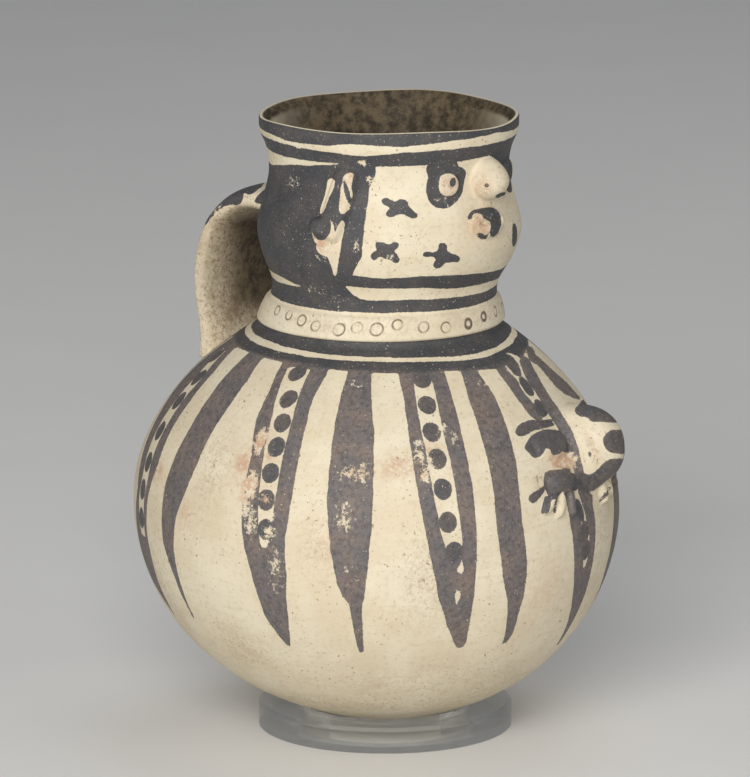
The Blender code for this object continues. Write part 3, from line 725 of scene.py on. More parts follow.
def patches(wall, places):
    """The strongest of several soft patches at each point."""
    return np.maximum.reduce([strength * wall.glow(*place) for *place, strength in places])


DOT_HALF_WIDTH, DOT_HALF_HEIGHT = 3.3, 3.75
# How much further than their outlines the brush spread the lines and the dabs over the relief
LINE_SPREAD, DAB_SPREAD = 0.35, 0.15
# No line of the belly's climbs higher than this onto the creature
LINE_CLIMB = 6.5
# The ink in a line as a share of full ink, what a dab adds to it, and the width over which it thickens
LINE_INK, DAB_INK, INK_SPAN = 0.1, 0.55, 2


def body_fields(wall):
    """Paint on the belly and shoulder."""
    lines = [wall.stripe(rows, turn) for turn, rows in PLAIN]
    lines += [cut(wall.stripe(rows, turn), wall.stripe(gap, turn)) for turn, rows, gap, _ in DOTTED]
    lines += [wall.drawn(shape) + LINE_SPREAD for shape in (G_LEFT, G_RIGHT, H_UPPER, G_LOW_LEFT, G_LOW_RIGHT)]
    shoulder = wall.over(SHOULDER_EDGE)
    lines = np.where(wall.raised > LINE_CLIMB, NOWHERE, union(*lines, cut(shoulder, wall.drawn(CREAM_TOP))))
    dabs = (G_DOT_1, G_DOT_2, G_DOT_3, G_LOW_DOT, ARM, CHEST, NEAR_PAW, CREATURE_CAP, CREATURE_EYE, CREATURE_JAW)
    dots = [wall.drawn(shape) + DAB_SPREAD for shape in dabs + FINGERS] + [wall.spot(*CREATURE_PIT_SHADE)]
    for turn, _, _, places in DOTTED:
        dots += [wall.blob(azimuth + turn, height, DOT_HALF_WIDTH, DOT_HALF_HEIGHT) for azimuth, height in places]
    dots = union(*dots)
    cream_line = np.minimum(wall.over(CREAM_LINE_LOW), -wall.over(CREAM_LINE_HIGH))
    ink = LINE_INK + DAB_INK * ramp(dots, -1, INK_SPAN)
    return {"paint": lines, "dots": dots, "light": union(cream_line, *(wall.area(star) for star in STARS_E)),
            "wear": patches(wall, BODY_WEAR), "pink": patches(wall, BODY_PINK), "stain_and_shade": patches(wall, BODY_STAIN),
            "ink": np.maximum(ink, smooth_step(shoulder))}


# Head: edges of its bands, the hair, the eyes and the crosses
RIM_EDGE = (
    (-116, 215.7), (-101, 214.8), (-81, 215.2), (-69, 216.4), (-47, 215.8), (-22, 217), (3, 217.2), (22, 216),
    (60, 215.6), (140, 215.8),
)
RIM_LINE_LOW = ((-116, 213.6), (-90, 213.2), (-63, 212.2), (-47, 213.6), (-20, 214), (22, 213.6), (80, 213.2))
BAND_LOW = (
    (-150, 208.6), (-110, 208.4), (-76, 208.9), (-60, 208.4), (-35, 208.6), (-10, 209.2), (22, 209),
    (90, 208.6),
)
HAIR_TOP = (
    (-150, 203), (-128, 203.1), (-109, 205.4), (-104, 206.2), (-91, 207), (-84, 207.8), (-77, 208.4),
    (-74, 210), (74, 210), (80, 208), (100, 206), (140, 203.4),
)
HAIR_EDGE = (
    (212, -58.5), (208.4, -58.4), (206.5, -58.1), (203, -59.9), (201, -61.5), (196.6, -61.9), (191.8, -62.7),
    (186.7, -63.2), (181, -63.7), (177, -63.8), (174.7, -65.5), (170.7, -67.9), (166, -72),
)
BAND_4_TOP = (
    (-150, 170), (-68, 170.2), (-54, 169.3), (-37, 169.7), (-21, 169.2), (-2, 168), (18, 167), (60, 169.5),
)
BAND_4_LOW = ((-75, 165.9), (-56, 165.2), (-35, 165.2), (-15, 163.4), (3, 163.3), (26, 162.6), (75, 165.9))
CREAM_5_LOW = (
    (-72, 165.4), (-68.7, 162.6), (-64.8, 161.1), (-59.5, 160.6), (-34, 160.7), (-14, 160), (7, 159.6),
    (26, 159.8), (60, 160.6), (69, 162.6), (72, 165.4),
)
BACK_SLIVER = (
    (-140, 165.2), (-128, 164.9), (-114, 165.3), (-106, 163.9), (-96.2, 163.3), (-108.6, 162.7), (-121.4, 162),
    (-140, 162.6),
)
COLLAR_TOP_EDGE = ((-150, 156), (-80, 156), (-40, 156.2), (0, 155.6), (60, 156))
EYE_PAINT = (
    (-33.6, 210.2), (-35.4, 206.9), (-33.2, 204.6), (-34.6, 201.1), (-34.3, 197.5), (-32.2, 194.6),
    (-28.3, 193), (-23.5, 193.1), (-19.2, 194.9), (-15.3, 197.7), (-13.7, 201.9), (-12.8, 204.7),
    (-14.9, 206.4), (-17.9, 207), (-19.4, 209.3), (-19, 211),
)
EYE_PELLET = (
    (-28, 203.6), (-25.5, 205), (-21.1, 205), (-17.4, 202.2), (-17.4, 199.3), (-20.6, 197), (-25.1, 197),
    (-27.8, 198.9),
)
EYE_PUPIL = (-20.6, 201.5, 1.3, 1.6)
EAR_SLOT_BACK = (
    (-82.3, 203.4), (-77.7, 203), (-79.7, 198.8), (-81.9, 194.7), (-83.2, 190.8), (-85.4, 191), (-84.5, 194.5),
    (-83.3, 198.9),
)
EAR_SLOT_FRONT = (
    (-74.2, 205), (-68.3, 206.4), (-70.4, 201.4), (-69.5, 197.9), (-69.7, 193.8), (-72.8, 191.1),
    (-75.6, 191.9), (-75.7, 195.9), (-75.3, 200.8),
)
EAR_DRIP = (
    (-74.5, 189.1), (-72.4, 189.6), (-71.9, 186.2), (-72.8, 183.1), (-73.5, 178.2), (-75, 173.5),
    (-75.7, 169.4), (-77.5, 169.3), (-78.3, 173.3), (-79.2, 176.3), (-83.6, 177.1), (-85.6, 179.8),
    (-82.6, 181.1), (-79, 181), (-76.6, 183.9),
)
# The dark fold in the ear's front slot, and the light rim of its spool with the disc inside, as blobs
EAR_FOLD = (-72.4, 199, 0.95, 4.6, 0.3)
SPOOL_RIM, SPOOL_DISC = (-82.4, 185.2, 4.4, 5.0), (-83.1, 186.3, 3.7, 4.4)
CROSSES = (
    ((-56, 197.1), (-53.6, 197.6), (-51.2, 196.4), (-48.8, 195.9), (-47.8, 196.9), (-45.4, 197.1), (-43.3, 195.8),
     (-43.5, 194.6), (-40.8, 192.8), (-38.9, 191.8), (-39.2, 190.6), (-41.4, 190.1), (-44.2, 191.2), (-45.6, 191.9),
     (-48.4, 191.7), (-50.3, 190.8), (-52.6, 190.8), (-53.9, 192), (-52.9, 193.3), (-51.7, 194), (-53.1, 194.5),
     (-55.5, 195.4)),
    ((-57.9, 182.5), (-55.7, 182.8), (-53.8, 182.2), (-51.7, 181.8), (-50.4, 182.7), (-48.2, 182.5), (-47.5, 181.3),
     (-48.7, 180.1), (-50, 179.5), (-48.6, 178.3), (-47.3, 176.4), (-47.9, 175), (-50, 175.3), (-51.1, 176.4),
     (-53.4, 176.4), (-54.7, 177.3), (-56.5, 177.5), (-57.8, 176), (-59.5, 176.3), (-60.4, 177.7), (-59.1, 178.9),
     (-57.2, 179.7), (-58.1, 181.1)),
    ((-30.2, 181.6), (-27.8, 181.8), (-26.1, 180.5), (-26.4, 178.8), (-23.7, 177.5), (-20.4, 176.5), (-19.1, 175),
     (-20.1, 173.8), (-22.9, 174.4), (-24.9, 174.2), (-26.9, 174.4), (-27.5, 172.8), (-29.7, 172.2), (-32, 173.1),
     (-32.1, 174.7), (-31.2, 175.8), (-32.8, 177), (-35.5, 176.8), (-37.5, 177.5), (-37.4, 178.9), (-34.9, 179.1),
     (-32.5, 178.5), (-30.5, 179.3), (-30.7, 180.5)),
)
FAR_CHEEK = ((16.3, 183.8), (20.9, 182.8), (22.4, 178.6), (25.4, 175.2), (20, 174.1), (14.3, 178.3))

# Drawn over the relief of the face, as photograph pixels
MOUTH_PAINT = (
    (478.8, 209), (491, 206.5), (498.2, 210.2), (501.6, 218.8), (500.8, 226.9), (496.7, 235.5), (492, 237.6),
    (489.4, 234.1), (491.4, 222.9), (488, 220.8), (482.9, 218.8), (481.8, 213.7), (474.7, 212.7),
    (471.6, 215.7), (472.7, 220.8), (468.6, 220.8), (467.6, 215.7), (471.6, 210.6),
)
MOUTH_SLIT = ((474.7, 233.5), (481.8, 233.5), (484.9, 235.5), (489.4, 233.5), (486.9, 239.6), (480.8, 239.2))
FAR_EYE = (
    (488, 150.4), (511.4, 138.3), (516.4, 157.6), (512, 182), (504.5, 180), (503.3, 172.9), (502.2, 167.8),
    (496.1, 162.7), (490, 157.6),
)
NOSE_SHADE = ((494.7, 196.3), (503.3, 191.2), (507.3, 193.3), (497.6, 198.8))
# A dark dab in the pit on the nose: painted shade, as the pit is not cut into the clay
NOSE_PIT_SHADE = (486.7, 185.4, 2.3, 2.0)

HEAD_WEAR = (
    (-105.1, 199.8, 7, 5, 0.75), (-64.7, 209.5, 3, 1.6, 1.3), (-61.1, 203.5, 2, 3, 1.2),
    (-82.4, 176.8, 5, 4, 0.9), (-66.9, 180.6, 2.5, 4, 0.9), (-59.4, 170.4, 3.5, 1.5, 1.1),
    (-96.8, 213.5, 6, 1.5, 0.9), (-51, 177, 2.2, 1.5, 1.2), (-26, 196, 6, 2, 0.7), (-20, 187, 5, 5, 0.8),
    (-90, 190, 14, 16, 0.45), (-60, 190, 3, 12, 0.5), (-90, 163, 8, 3, 0.8), (-30, 216, 20, 1.5, 0.6),
    (-5, 187, 6, 5, 0.6), (-76, 160, 6, 3, 0.7),
)
HEAD_PINK = (
    (-119.4, 182.8, 4, 4, 1.2), (-72.1, 206, 2.4, 1.6, 1.5), (-83.1, 186.1, 4.8, 5.2, 0.9),
    (-8, 185.5, 5, 4, 1.3), (-75, 210.6, 14, 1.6, 1.0), (-70, 204, 5, 4, 1.1), (-83, 181, 4, 3, 1.2),
    (-23, 201, 4, 4, 0.6), (-2, 198, 5, 3, 0.9), (-76, 196, 3, 9, 0.5),
)
HEAD_STAIN = (
    (-8, 186.5, 5, 4.5, 1.3), (-23, 201, 3.6, 3.8, 0.9), (-2, 200, 5, 5, 0.5), (-48, 152, 22, 4, 0.45),
    (10, 152, 22, 4, 0.6), (-85, 151, 16, 3, 0.6), (16, 188, 5, 16, 0.55), (-63, 168, 5, 4, 0.5),
    (-40, 186, 5, 9, 0.3), (60, 190, 25, 20, 0.35),
)
DARK_RINGS, DARK_RING_RADII = ((-5.4, 149.9), (7.6, 150.9)), (2.0, 0.9)
COLLAR_RINGS = (
    (-117, 152.4, 1.7), (-105.4, 152.1, 1.6), (-95.3, 151.4, 1.9), (-86, 150.3, 1.8), (-73.1, 149.9, 2.1),
    (-64.3, 150.9, 1.9), (-54.6, 150.5, 2.2), (-44.7, 152, 1.8), (-31.5, 150.8, 1.9), (-19.5, 149.9, 1.9),
    (-5.4, 149.9, 1.9), (7.6, 150.9, 1.8), (22.5, 150.7, 1.8),
)


# No paint lies on the nose: its half width in degrees, its foot and top, and how far it stands out, in millimetres
NOSE_SIDE, NOSE_FOOT, NOSE_TOP, NOSE_LIFT = 17, 193.5, 211, 0.8
# The far eye's edge, where the far side starts to mirror the near one, and the last collar ring that is mirrored
FAR_EYE_SIDE, MIRRORED_FROM, LAST_PAIR_OF_RINGS = 24, 28, -30
# The heights down to which the hair and the thick ink reach
HAIR_FOOT, INK_FOOT = 157.0, 154


def head_fields(wall):
    """Paint on the head and the collar."""
    near = wall.turned_to(np.where(wall.phi > MIRRORED_FROM, -wall.phi, wall.phi))
    eyes = wall.turned_to(-np.abs(wall.phi))
    border = np.interp(wall.z, *np.array(HAIR_EDGE[::-1]).T)
    hair = np.minimum.reduce((-near.across(border), -wall.over(HAIR_TOP), wall.arc - arc_mm(HAIR_FOOT)))
    bands = ((RIM_LINE_LOW, BAND_LOW), (BAND_4_TOP, BAND_4_LOW), (CREAM_5_LOW, COLLAR_TOP_EDGE))
    lines = [np.minimum(-wall.over(top), wall.over(foot)) for top, foot in bands]
    dots = [eyes.area(EYE_PAINT), wall.area(CROSSES[2], 1), wall.area(FAR_CHEEK, 1)]
    dots += [near.area(cross, 1) for cross in CROSSES[:2]]
    dots += [wall.drawn(shape) for shape in (FAR_EYE, MOUTH_PAINT, MOUTH_SLIT)]
    nose = (wall.raised > NOSE_LIFT) & (np.abs(wall.own) < NOSE_SIDE)
    nose &= (wall.height > NOSE_FOOT) & (wall.height < NOSE_TOP)
    filled = [cut(*(wall.blob(*place, size, size) for size in DARK_RING_RADII)) for place in DARK_RINGS]
    dots = union(np.where(nose, NOWHERE, union(*dots)), wall.drawn(NOSE_SHADE), wall.spot(*NOSE_PIT_SHADE), *filled)
    far_eye = (wall.own > 0) & (wall.own < FAR_EYE_SIDE)
    pellet = cut(np.where(far_eye, NOWHERE, eyes.area(EYE_PELLET, 1)), eyes.blob(*EYE_PUPIL))
    light = union(
        near.area(EAR_SLOT_BACK), cut(near.area(EAR_SLOT_FRONT), near.blob(*EAR_FOLD)), near.area(EAR_DRIP),
        cut(near.blob(*SPOOL_RIM), near.blob(*SPOOL_DISC)), near.area(BACK_SLIVER, 1), pellet)
    rings = np.full(wall.phi.shape, -NOWHERE)
    for azimuth, height, radius in COLLAR_RINGS:
        for side in ((azimuth,) if azimuth > LAST_PAIR_OF_RINGS else (azimuth, -azimuth)):
            away = np.hypot(wall.across(side), wall.arc - arc_mm(height)) - radius
            rings = np.where(np.abs(away) < np.abs(rings), away, rings)
    return {"paint": union(wall.over(RIM_EDGE), hair, *lines), "dots": dots, "light": light, "rings": rings,
            "wear": patches(near, HEAD_WEAR), "pink": patches(near, HEAD_PINK), "stain_and_shade": patches(near, HEAD_STAIN),
            "ink": np.where(wall.z < INK_FOOT, 0.0, 1.0)}


# ---------------------------------------------------------------- surfaces

# Columns, in degrees: their spacing, how much closer they stand over the creature, and where that is
COLUMN_STEP, COLUMN_CLOSER, COLUMN_SCAN = 0.84, 0.42, 0.1
CLOSE_FROM, CLOSE_TO, CLOSE_FADE = -18, 44, 8


def columns():
    """Azimuths round the jar, closest together over the creature."""
    turn = np.linspace(-180, 180, round(360 / COLUMN_SCAN) + 1)
    fine = ramp(turn, CLOSE_FROM, CLOSE_FADE) * ramp(turn, CLOSE_TO, -CLOSE_FADE)
    count = np.concatenate(([0.0], np.cumsum(COLUMN_SCAN / (COLUMN_STEP - COLUMN_CLOSER * fine[1:]))))
    return np.interp(np.arange(int(count[-1])) * count[-1] / int(count[-1]), count, turn)


# Where the fans at the ends of the jar's rows begin, in radians from straight down
FAN_EDGE = 0.02


def inner_profile():
    """Inner lines, a wall's thickness inside the outer one: the neck's from the lip down, and the hollow's."""
    neck = np.linspace(RIM_RISE - LIP_WALL, NECK[1][0], 40)
    thin = ramp(neck, BROW_RISE, RIM_RISE - BROW_RISE)
    upper = np.stack((outer_radius(neck) - NECK_WALL - (LIP_WALL - NECK_WALL) * thin, neck), -1)
    shoulder = np.linspace(ROOT_RISE, 0, 60)[:-1]
    step = 0.0005
    slope = (outer_radius(shoulder) - outer_radius(shoulder - step)) / step
    size = np.hypot(slope, 1)
    middle = np.stack((outer_radius(shoulder) - BODY_WALL / size, shoulder + BODY_WALL * slope / size), -1)
    turn = np.linspace(math.pi / 2, FAN_EDGE, 60)
    lower = np.stack(((BELLY_RADIUS - BODY_WALL) * np.sin(turn), (BODY_WALL - BELLY_DROP) * np.cos(turn)), -1)
    return upper, np.vstack((middle, lower))


BODY_TOP_RISE, HEAD_FOOT_RISE = 0.0690, 0.0668
# Rows: their spacing, how much closer they stand over the creature and wider at the bottom
ROW_STEP, ROW_CLOSER, ROW_WIDER = 0.00135, 0.00062, 0.0013
FINE_FROM, FINE_TO, FINE_FADE, WIDE_BELOW, WIDE_FADE = 0.003, 0.048, 0.004, -0.055, 0.01
INNER_ROW_STEP, NECK_ROW_STEP, INNER_NECK_ROW_STEP = 0.007, 0.00064, 0.0040


def row_step(place):
    """Spacing of the belly's outer rows at a place of its profile."""
    rise = place[:, 1]
    fine = ramp(rise, FINE_FROM, FINE_FADE) * ramp(rise, FINE_TO, -FINE_FADE)
    return ROW_STEP - ROW_CLOSER * fine + ROW_WIDER * ramp(rise, WIDE_BELOW, -WIDE_FADE)


def body_rows():
    """Outer rows from the bottom to inside the collar, then inner rows down to the hollow's bottom."""
    turn = np.linspace(FAN_EDGE, math.pi / 2, 400)
    lower = np.stack((BELLY_RADIUS * np.sin(turn), -BELLY_DROP * np.cos(turn)), -1)
    rise = np.linspace(0.0002, BODY_TOP_RISE, 600)
    outer = even_rows(np.vstack((lower, np.stack((outer_radius(rise), rise), -1))), row_step)
    inner = even_rows(inner_profile()[1], INNER_ROW_STEP)
    return outer, np.vstack(([[outer_radius(BODY_TOP_RISE) - BODY_WALL, BODY_TOP_RISE]], inner))


# The lip from its outer side over its crest and inwards, from the rim's radius and rise
LIP = (
    (0.0, -0.0012), (0.0, -0.0008), (-0.0003, -0.0002), (-0.0009, 0.0), (-0.0016, -0.0003), (-0.0024, -0.0013),
    (-0.0033, -0.0027),
)
LIP_CREST = 4
# The collar's underside from its lip's radius and rise, its upper corner, its swell between them, and how far
# in from the root its foot is hidden
COLLAR_UNDER = ((-0.0012, 0.0), (-0.0004, 0.0001), (0.0, 0.0006))
COLLAR_CORNER, COLLAR_FOOT_IN, COLLAR_SWELL = ((-0.0004, -0.0005), (0.0002, 0.0)), 0.0035, 0.0002
NECK_START, NECK_FOOT_GAP = 0.0006, 0.00015


def head_rows():
    """Collar underside, collar, neck, lip and inner neck, as one closed line."""
    top = COLLAR_RISE + COLLAR_HEIGHT
    foot = [[ROOT_RADIUS - COLLAR_FOOT_IN, HEAD_FOOT_RISE]]
    under = np.array(COLLAR_UNDER) + (COLLAR_LIP_RADIUS, COLLAR_RISE)
    face = np.linspace(0, 1, 14)[:, None]
    low = np.array([COLLAR_LIP_RADIUS, COLLAR_RISE + COLLAR_EDGE])
    high = np.array([COLLAR_TOP_RADIUS, top - COLLAR_EDGE])
    band = low + (high - low) * face + np.sin(np.pi * face) * (COLLAR_SWELL, 0.0)
    corner = np.array(COLLAR_CORNER) + ((COLLAR_TOP_RADIUS, top), (float(outer_radius(top)), top))
    rise = np.linspace(top + NECK_START, RIM_RISE + LIP[0][1], 400)
    neck = even_rows(np.stack((outer_radius(rise), rise), -1), NECK_ROW_STEP)
    lip = np.array(LIP[1:]) + (RIM_RADIUS, RIM_RISE)
    inner = even_rows(inner_profile()[0], INNER_NECK_ROW_STEP)
    inner_foot = [[outer_radius(ROOT_RISE) - BODY_WALL - NECK_FOOT_GAP, HEAD_FOOT_RISE]]
    return np.vstack((foot, under, band, corner, neck, lip)), np.vstack((inner, inner_foot))


# Relief on the body: places are (azimuth, rise), sizes are half widths across, up the wall and outward
CREATURE_PLACE, CREATURE_SIZES = (15.0, 0.0270), (0.0115, 0.0142, 0.0140)
CREATURE_SQUARENESS, CREATURE_FILLET = 0.86, 0.0038
FOREARM_PLACE, FOREARM_SIZES = (-0.5, 0.0310), (0.0084, 0.0052, 0.0020)
PAW_TURNS, PAW_RISE, PAW_SIZES, PAW_FILLET = (-2.0, 17.0), 0.0190, (0.0062, 0.0046, 0.0036), 0.0008
FINGER_SIZES, FINGER_SQUARENESS, FINGER_FILLET = (0.0017, 0.0050, 0.0018), 0.9, 0.0005
FINGER_TURN, FINGER_FAN, FINGER_GAP, FINGER_DROP, FINGER_LIFT = 28.0, 23.0, 0.0034, 0.0028, 0.0003


def model_creature(grid):
    """The creature at the chest, the forearm and the two paws with their fingers."""
    place, axes = surface_frame(*CREATURE_PLACE, level=True)
    grid = carry_over(grid, place, axes, CREATURE_SIZES, CREATURE_SQUARENESS, CREATURE_FILLET, snout_form)
    grid = press_on(grid, *surface_frame(*FOREARM_PLACE), FOREARM_SIZES)
    for azimuth, side in zip(PAW_TURNS, (-1, 1)):
        place, axes = surface_frame(azimuth, PAW_RISE)
        grid = press_on(grid, place, axes, PAW_SIZES, fillet=PAW_FILLET)
        for i in (-1, 0, 1):
            finger = turned_axes(axes, side * (FINGER_TURN + FINGER_FAN * i))
            root = place + FINGER_GAP * side * i * axes[0] - FINGER_DROP * axes[1] + FINGER_LIFT * axes[2]
            middle = root - FINGER_SIZES[1] * finger[1]
            grid = press_on(grid, middle, finger, FINGER_SIZES, FINGER_SQUARENESS, FINGER_FILLET)
    return grid


# Relief on the head, likewise; eyes, ears and spools stand at the same turn on either side
NOSE_PLACE, NOSE_SIZES, NOSE_SQUARENESS, NOSE_FILLET = (0, 0.1215), (0.0077, 0.0076, 0.0089), 0.95, 0.0010
MOUTH_PLACE, MOUTH_SIZES, MOUTH_SQUARENESS, MOUTH_FILLET = (-4.0, 0.1066), (0.0082, 0.0056, 0.0042), 1.0, 0.0008
EYE_TURN, EYE_RISE, EYE_SIZES, EYE_FILLET = 23.5, 0.1212, (0.0042, 0.0042, 0.0022), 0.0005
EAR_TURN, EAR_RISE, EAR_SIZES, EAR_LEAN = 75.2, 0.1150, (0.0046, 0.0135, 0.0046), 13.0
EAR_SQUARENESS, EAR_FILLET = 0.5, 0.0004
SPOOL_TURN, SPOOL_RISE, SPOOL_SIZES = 83.0, 0.1062, (0.0036, 0.0036, 0.0050)
SPOOL_SQUARENESS, SPOOL_FILLET = 0.7, 0.0005


def model_face(grid):
    """Nose, lips, pellet eyes, ears and ear spools."""
    grid = carry_over(grid, *surface_frame(*NOSE_PLACE), NOSE_SIZES, NOSE_SQUARENESS, NOSE_FILLET, nose_form)
    grid = press_on(grid, *surface_frame(*MOUTH_PLACE), MOUTH_SIZES, MOUTH_SQUARENESS, MOUTH_FILLET, lips_form)
    for side in (-1, 1):
        grid = press_on(grid, *surface_frame(side * EYE_TURN, EYE_RISE), EYE_SIZES, fillet=EYE_FILLET)
        place, axes = surface_frame(side * EAR_TURN, EAR_RISE)
        grid = press_on(grid, place, turned_axes(axes, side * EAR_LEAN), EAR_SIZES, EAR_SQUARENESS, EAR_FILLET)
        spool = surface_frame(side * SPOOL_TURN, SPOOL_RISE)
        grid = press_on(grid, *spool, SPOOL_SIZES, SPOOL_SQUARENESS, SPOOL_FILLET)
    return grid


def make_skin(rows, model):
    """A shell's outer points with their relief, and all its points with the inner rows after them."""
    azimuths = columns()
    outer, inner = rows
    skin = model(uneven(turned_grid(outer, azimuths)))
    return skin, np.concatenate((skin, turned_grid(inner, azimuths)))


def with_inside(fields, outer_count, total):
    """Fields for every point of a piece: the inside and the poles stay bare."""
    bare = {"paint": NOWHERE, "dots": NOWHERE, "light": NOWHERE, "rings": -NOWHERE}
    full = {}
    for key in ("paint", "dots", "light", "rings", "wear", "pink", "stain_and_shade", "shade_and_bare_clay", "ink"):
        full[key] = np.full(total, bare.get(key, 0.0))
        if key in fields:
            full[key][:outer_count] = fields[key].reshape(-1)
    return full


def make_body(material):
    """The belly and shoulder: outer wall, the cut hidden in the collar, and the hollow."""
    skin, grid = make_skin(body_rows(), model_creature)
    mesh = grid_mesh("jar_body", grid, poles=True)
    outer_count = skin[..., 0].size
    full = with_inside(body_fields(Wall(skin)), outer_count, len(mesh.vertices))
    # The hollow is bare clay in its dark shaded tones: painted shade
    full["shade_and_bare_clay"][outer_count:] = 1.0
    return add_piece(mesh, "jar", material, full)


# How far the cream slip covers the lip's edge, in millimetres, a thin pale line that is also a painted highlight on
# the lip; the painted light on the clay inside the lip to the left and right as seen: its half width in degrees,
# where it starts below the rim, its fade and its share
LIP_CREAM = 0.4
INNER_LIGHT_SPAN, INNER_LIGHT_BELOW, INNER_LIGHT_FADE, INNER_LIGHT_SHARE = 26, 0.024, 0.018, 0.75


def make_head(material):
    """The collar and the head-shaped neck with its lip, and the inside of the neck."""
    skin, grid = make_skin(head_rows(), model_face)
    fields = head_fields(Wall(skin))
    # The lip's crest shows cream: slip, and also a painted highlight along the lip
    fields["light"][-LIP_CREST - 1:] = LIP_CREAM
    # The lip's inner rows and the neck's inside take the bare clay's dark shaded tones: painted shade
    fields["shade_and_bare_clay"] = 0 * skin[..., 0]
    fields["shade_and_bare_clay"][1 - LIP_CREST:] = 1.0
    mesh = grid_mesh("jar_head", grid, wrap=True)
    outer_count = skin[..., 0].size
    full = with_inside(fields, outer_count, len(mesh.vertices))
    # Painted light: the clay inside the lip is paler to the left and right as seen from the camera
    azimuth, rise = chart_of(grid[len(skin):])
    pale = sum(np.exp(-(turn_between(azimuth, CAMERA_AZIMUTH + side) / INNER_LIGHT_SPAN) ** 2) for side in (-90, 90))
    pale = INNER_LIGHT_SHARE * pale * ramp(rise, RIM_RISE - INNER_LIGHT_BELOW, INNER_LIGHT_FADE)
    full["shade_and_bare_clay"][outer_count:] = (1 - pale).reshape(-1)
    return add_piece(mesh, "jar", material, full)


# The strap's paint, as photograph pixels
HANDLE_PAINT = (
    ((204, 225.5), (208, 214), (214, 205), (222, 196.5), (230, 189), (242, 181), (265, 177), (265, 184),
     (249.5, 196.2), (243.6, 192), (244.1, 196), (239.4, 205.8), (228.6, 204.6), (221.7, 208), (212.6, 215.5),
     (206.5, 225)),
    ((254, 199.4), (270, 184.5), (280, 184), (280, 205), (255, 204)),
)
# Where the strap's painted shade and its brown stain start in the photograph and over how many pixels they come in:
# down from its top, rightwards, and up from its foot (a minus length)
SHADE_TOP, STAIN_AND_SHADE_LEFT, STAIN_AND_SHADE_FOOT = (203, 22), (200, 30), (350, -40)
PAINTED_SHADE_LEFT, PAINTED_SHADE_FOOT = (214, 34), (335, -45)
STAIN_AND_SHADE_LEVELS, PAINTED_SHADE_LEVELS = (0.7, 1.3), (0.22, 0.75)
STRAP_WEAR, STRAP_WEAR_WIDTH = 216, 8
# The strap's inner side, by the sine of the angle round its section: where it starts and its fade
INNER_SIDE = (0.3, -0.5)
STRAP_ROWS, STRAP_SIDES = 110, 64
# The strap's extra width and its place and span as shares of its length, and its wider, thicker ends
HANDLE_BROAD, BROAD_PLACE, BROAD_SPAN = 0.0030, 0.35, 0.3
END_WIDER, END_THICKER, END_SPAN = 0.003, 0.002, 0.006


def make_handle(material):
    """The strap: a squared oval carried along a smooth line, a little wider where it meets the jar."""
    line = np.array(HANDLE_LINE)
    lengths = np.concatenate(([0.0], np.cumsum(np.hypot(*np.diff(line, axis=0).T))))
    backs, rises = np.stack((lengths, line[:, 0]), -1), np.stack((lengths, line[:, 1]), -1)
    place = np.linspace(0, lengths[-1], STRAP_ROWS)
    share = place / lengths[-1]
    middle = np.stack((0 * place, through(backs, place) + AXIS_Y, through(rises, place) + BELLY_HEIGHT), -1)
    tangent = np.gradient(middle, place, axis=0)
    tangent /= np.linalg.norm(tangent, axis=1, keepdims=True)
    outward = np.stack((0 * place, tangent[:, 2], -tangent[:, 1]), -1)
    flare = np.exp(-((np.minimum(place, lengths[-1] - place) / END_SPAN) ** 2))
    broad = HANDLE_BROAD * np.exp(-((share - BROAD_PLACE) / BROAD_SPAN) ** 2)
    width = HANDLE_FOOT_WIDTH + (HANDLE_TOP_WIDTH - HANDLE_FOOT_WIDTH) * share + END_WIDER * flare + broad
    thick = HANDLE_THICKNESS + END_THICKER * flare
    middle[:, 0] = broad / 2
    angle = np.linspace(0, 2 * math.pi, STRAP_SIDES, endpoint=False)
    side = squared(np.cos(angle), HANDLE_SQUARENESS)[None, :] * width[:, None] / 2
    depth = squared(np.sin(angle), HANDLE_SQUARENESS)[None, :] * thick[:, None] / 2
    grid = middle[:, None, :] + side[..., None] * np.array((1.0, 0, 0)) + depth[..., None] * outward[:, None, :]
    for row in (0, -1):
        azimuth, rise = chart_of(grid[row])
        wall = np.where(rise < ROOT_RISE, BODY_WALL, NECK_WALL)
        grid[row] = wall_point(azimuth, rise, outer_radius(rise) - wall / 2)
    mesh = grid_mesh("jar_handle", grid, poles=True)
    x, y = in_photo(grid)
    shapes = [polygon_depth(x, y, rounded(shape, 1)) * PIXEL_MM for shape in HANDLE_PAINT]
    # The strap's inner side darkens towards the neck, from its top and above its foot: painted shade, laid over a
    # brown stain
    shade = ramp(y, *SHADE_TOP) * ramp(np.sin(angle), *INNER_SIDE)[None, :]
    brown = STAIN_AND_SHADE_LEVELS[0] + STAIN_AND_SHADE_LEVELS[1] * ramp(x, *STAIN_AND_SHADE_LEFT) * shade * ramp(y, *STAIN_AND_SHADE_FOOT)
    painted_shade = (PAINTED_SHADE_LEVELS[0] + PAINTED_SHADE_LEVELS[1] * ramp(x, *PAINTED_SHADE_LEFT)) * shade * ramp(y, *PAINTED_SHADE_FOOT)
    fields = {"paint": union(*shapes), "ink": 0 * side + 1.0, "stain_and_shade": brown, "shade_and_bare_clay": painted_shade,
              "wear": np.exp(-((x - STRAP_WEAR) / STRAP_WEAR_WIDTH) ** 2)}
    full = with_inside(fields, side.size, len(mesh.vertices))
    return add_piece(mesh, "jar", material, full)


EDGE_BREAK, RING_SIDES, RING_SHARP_ANGLE = 0.0002, 256, 20


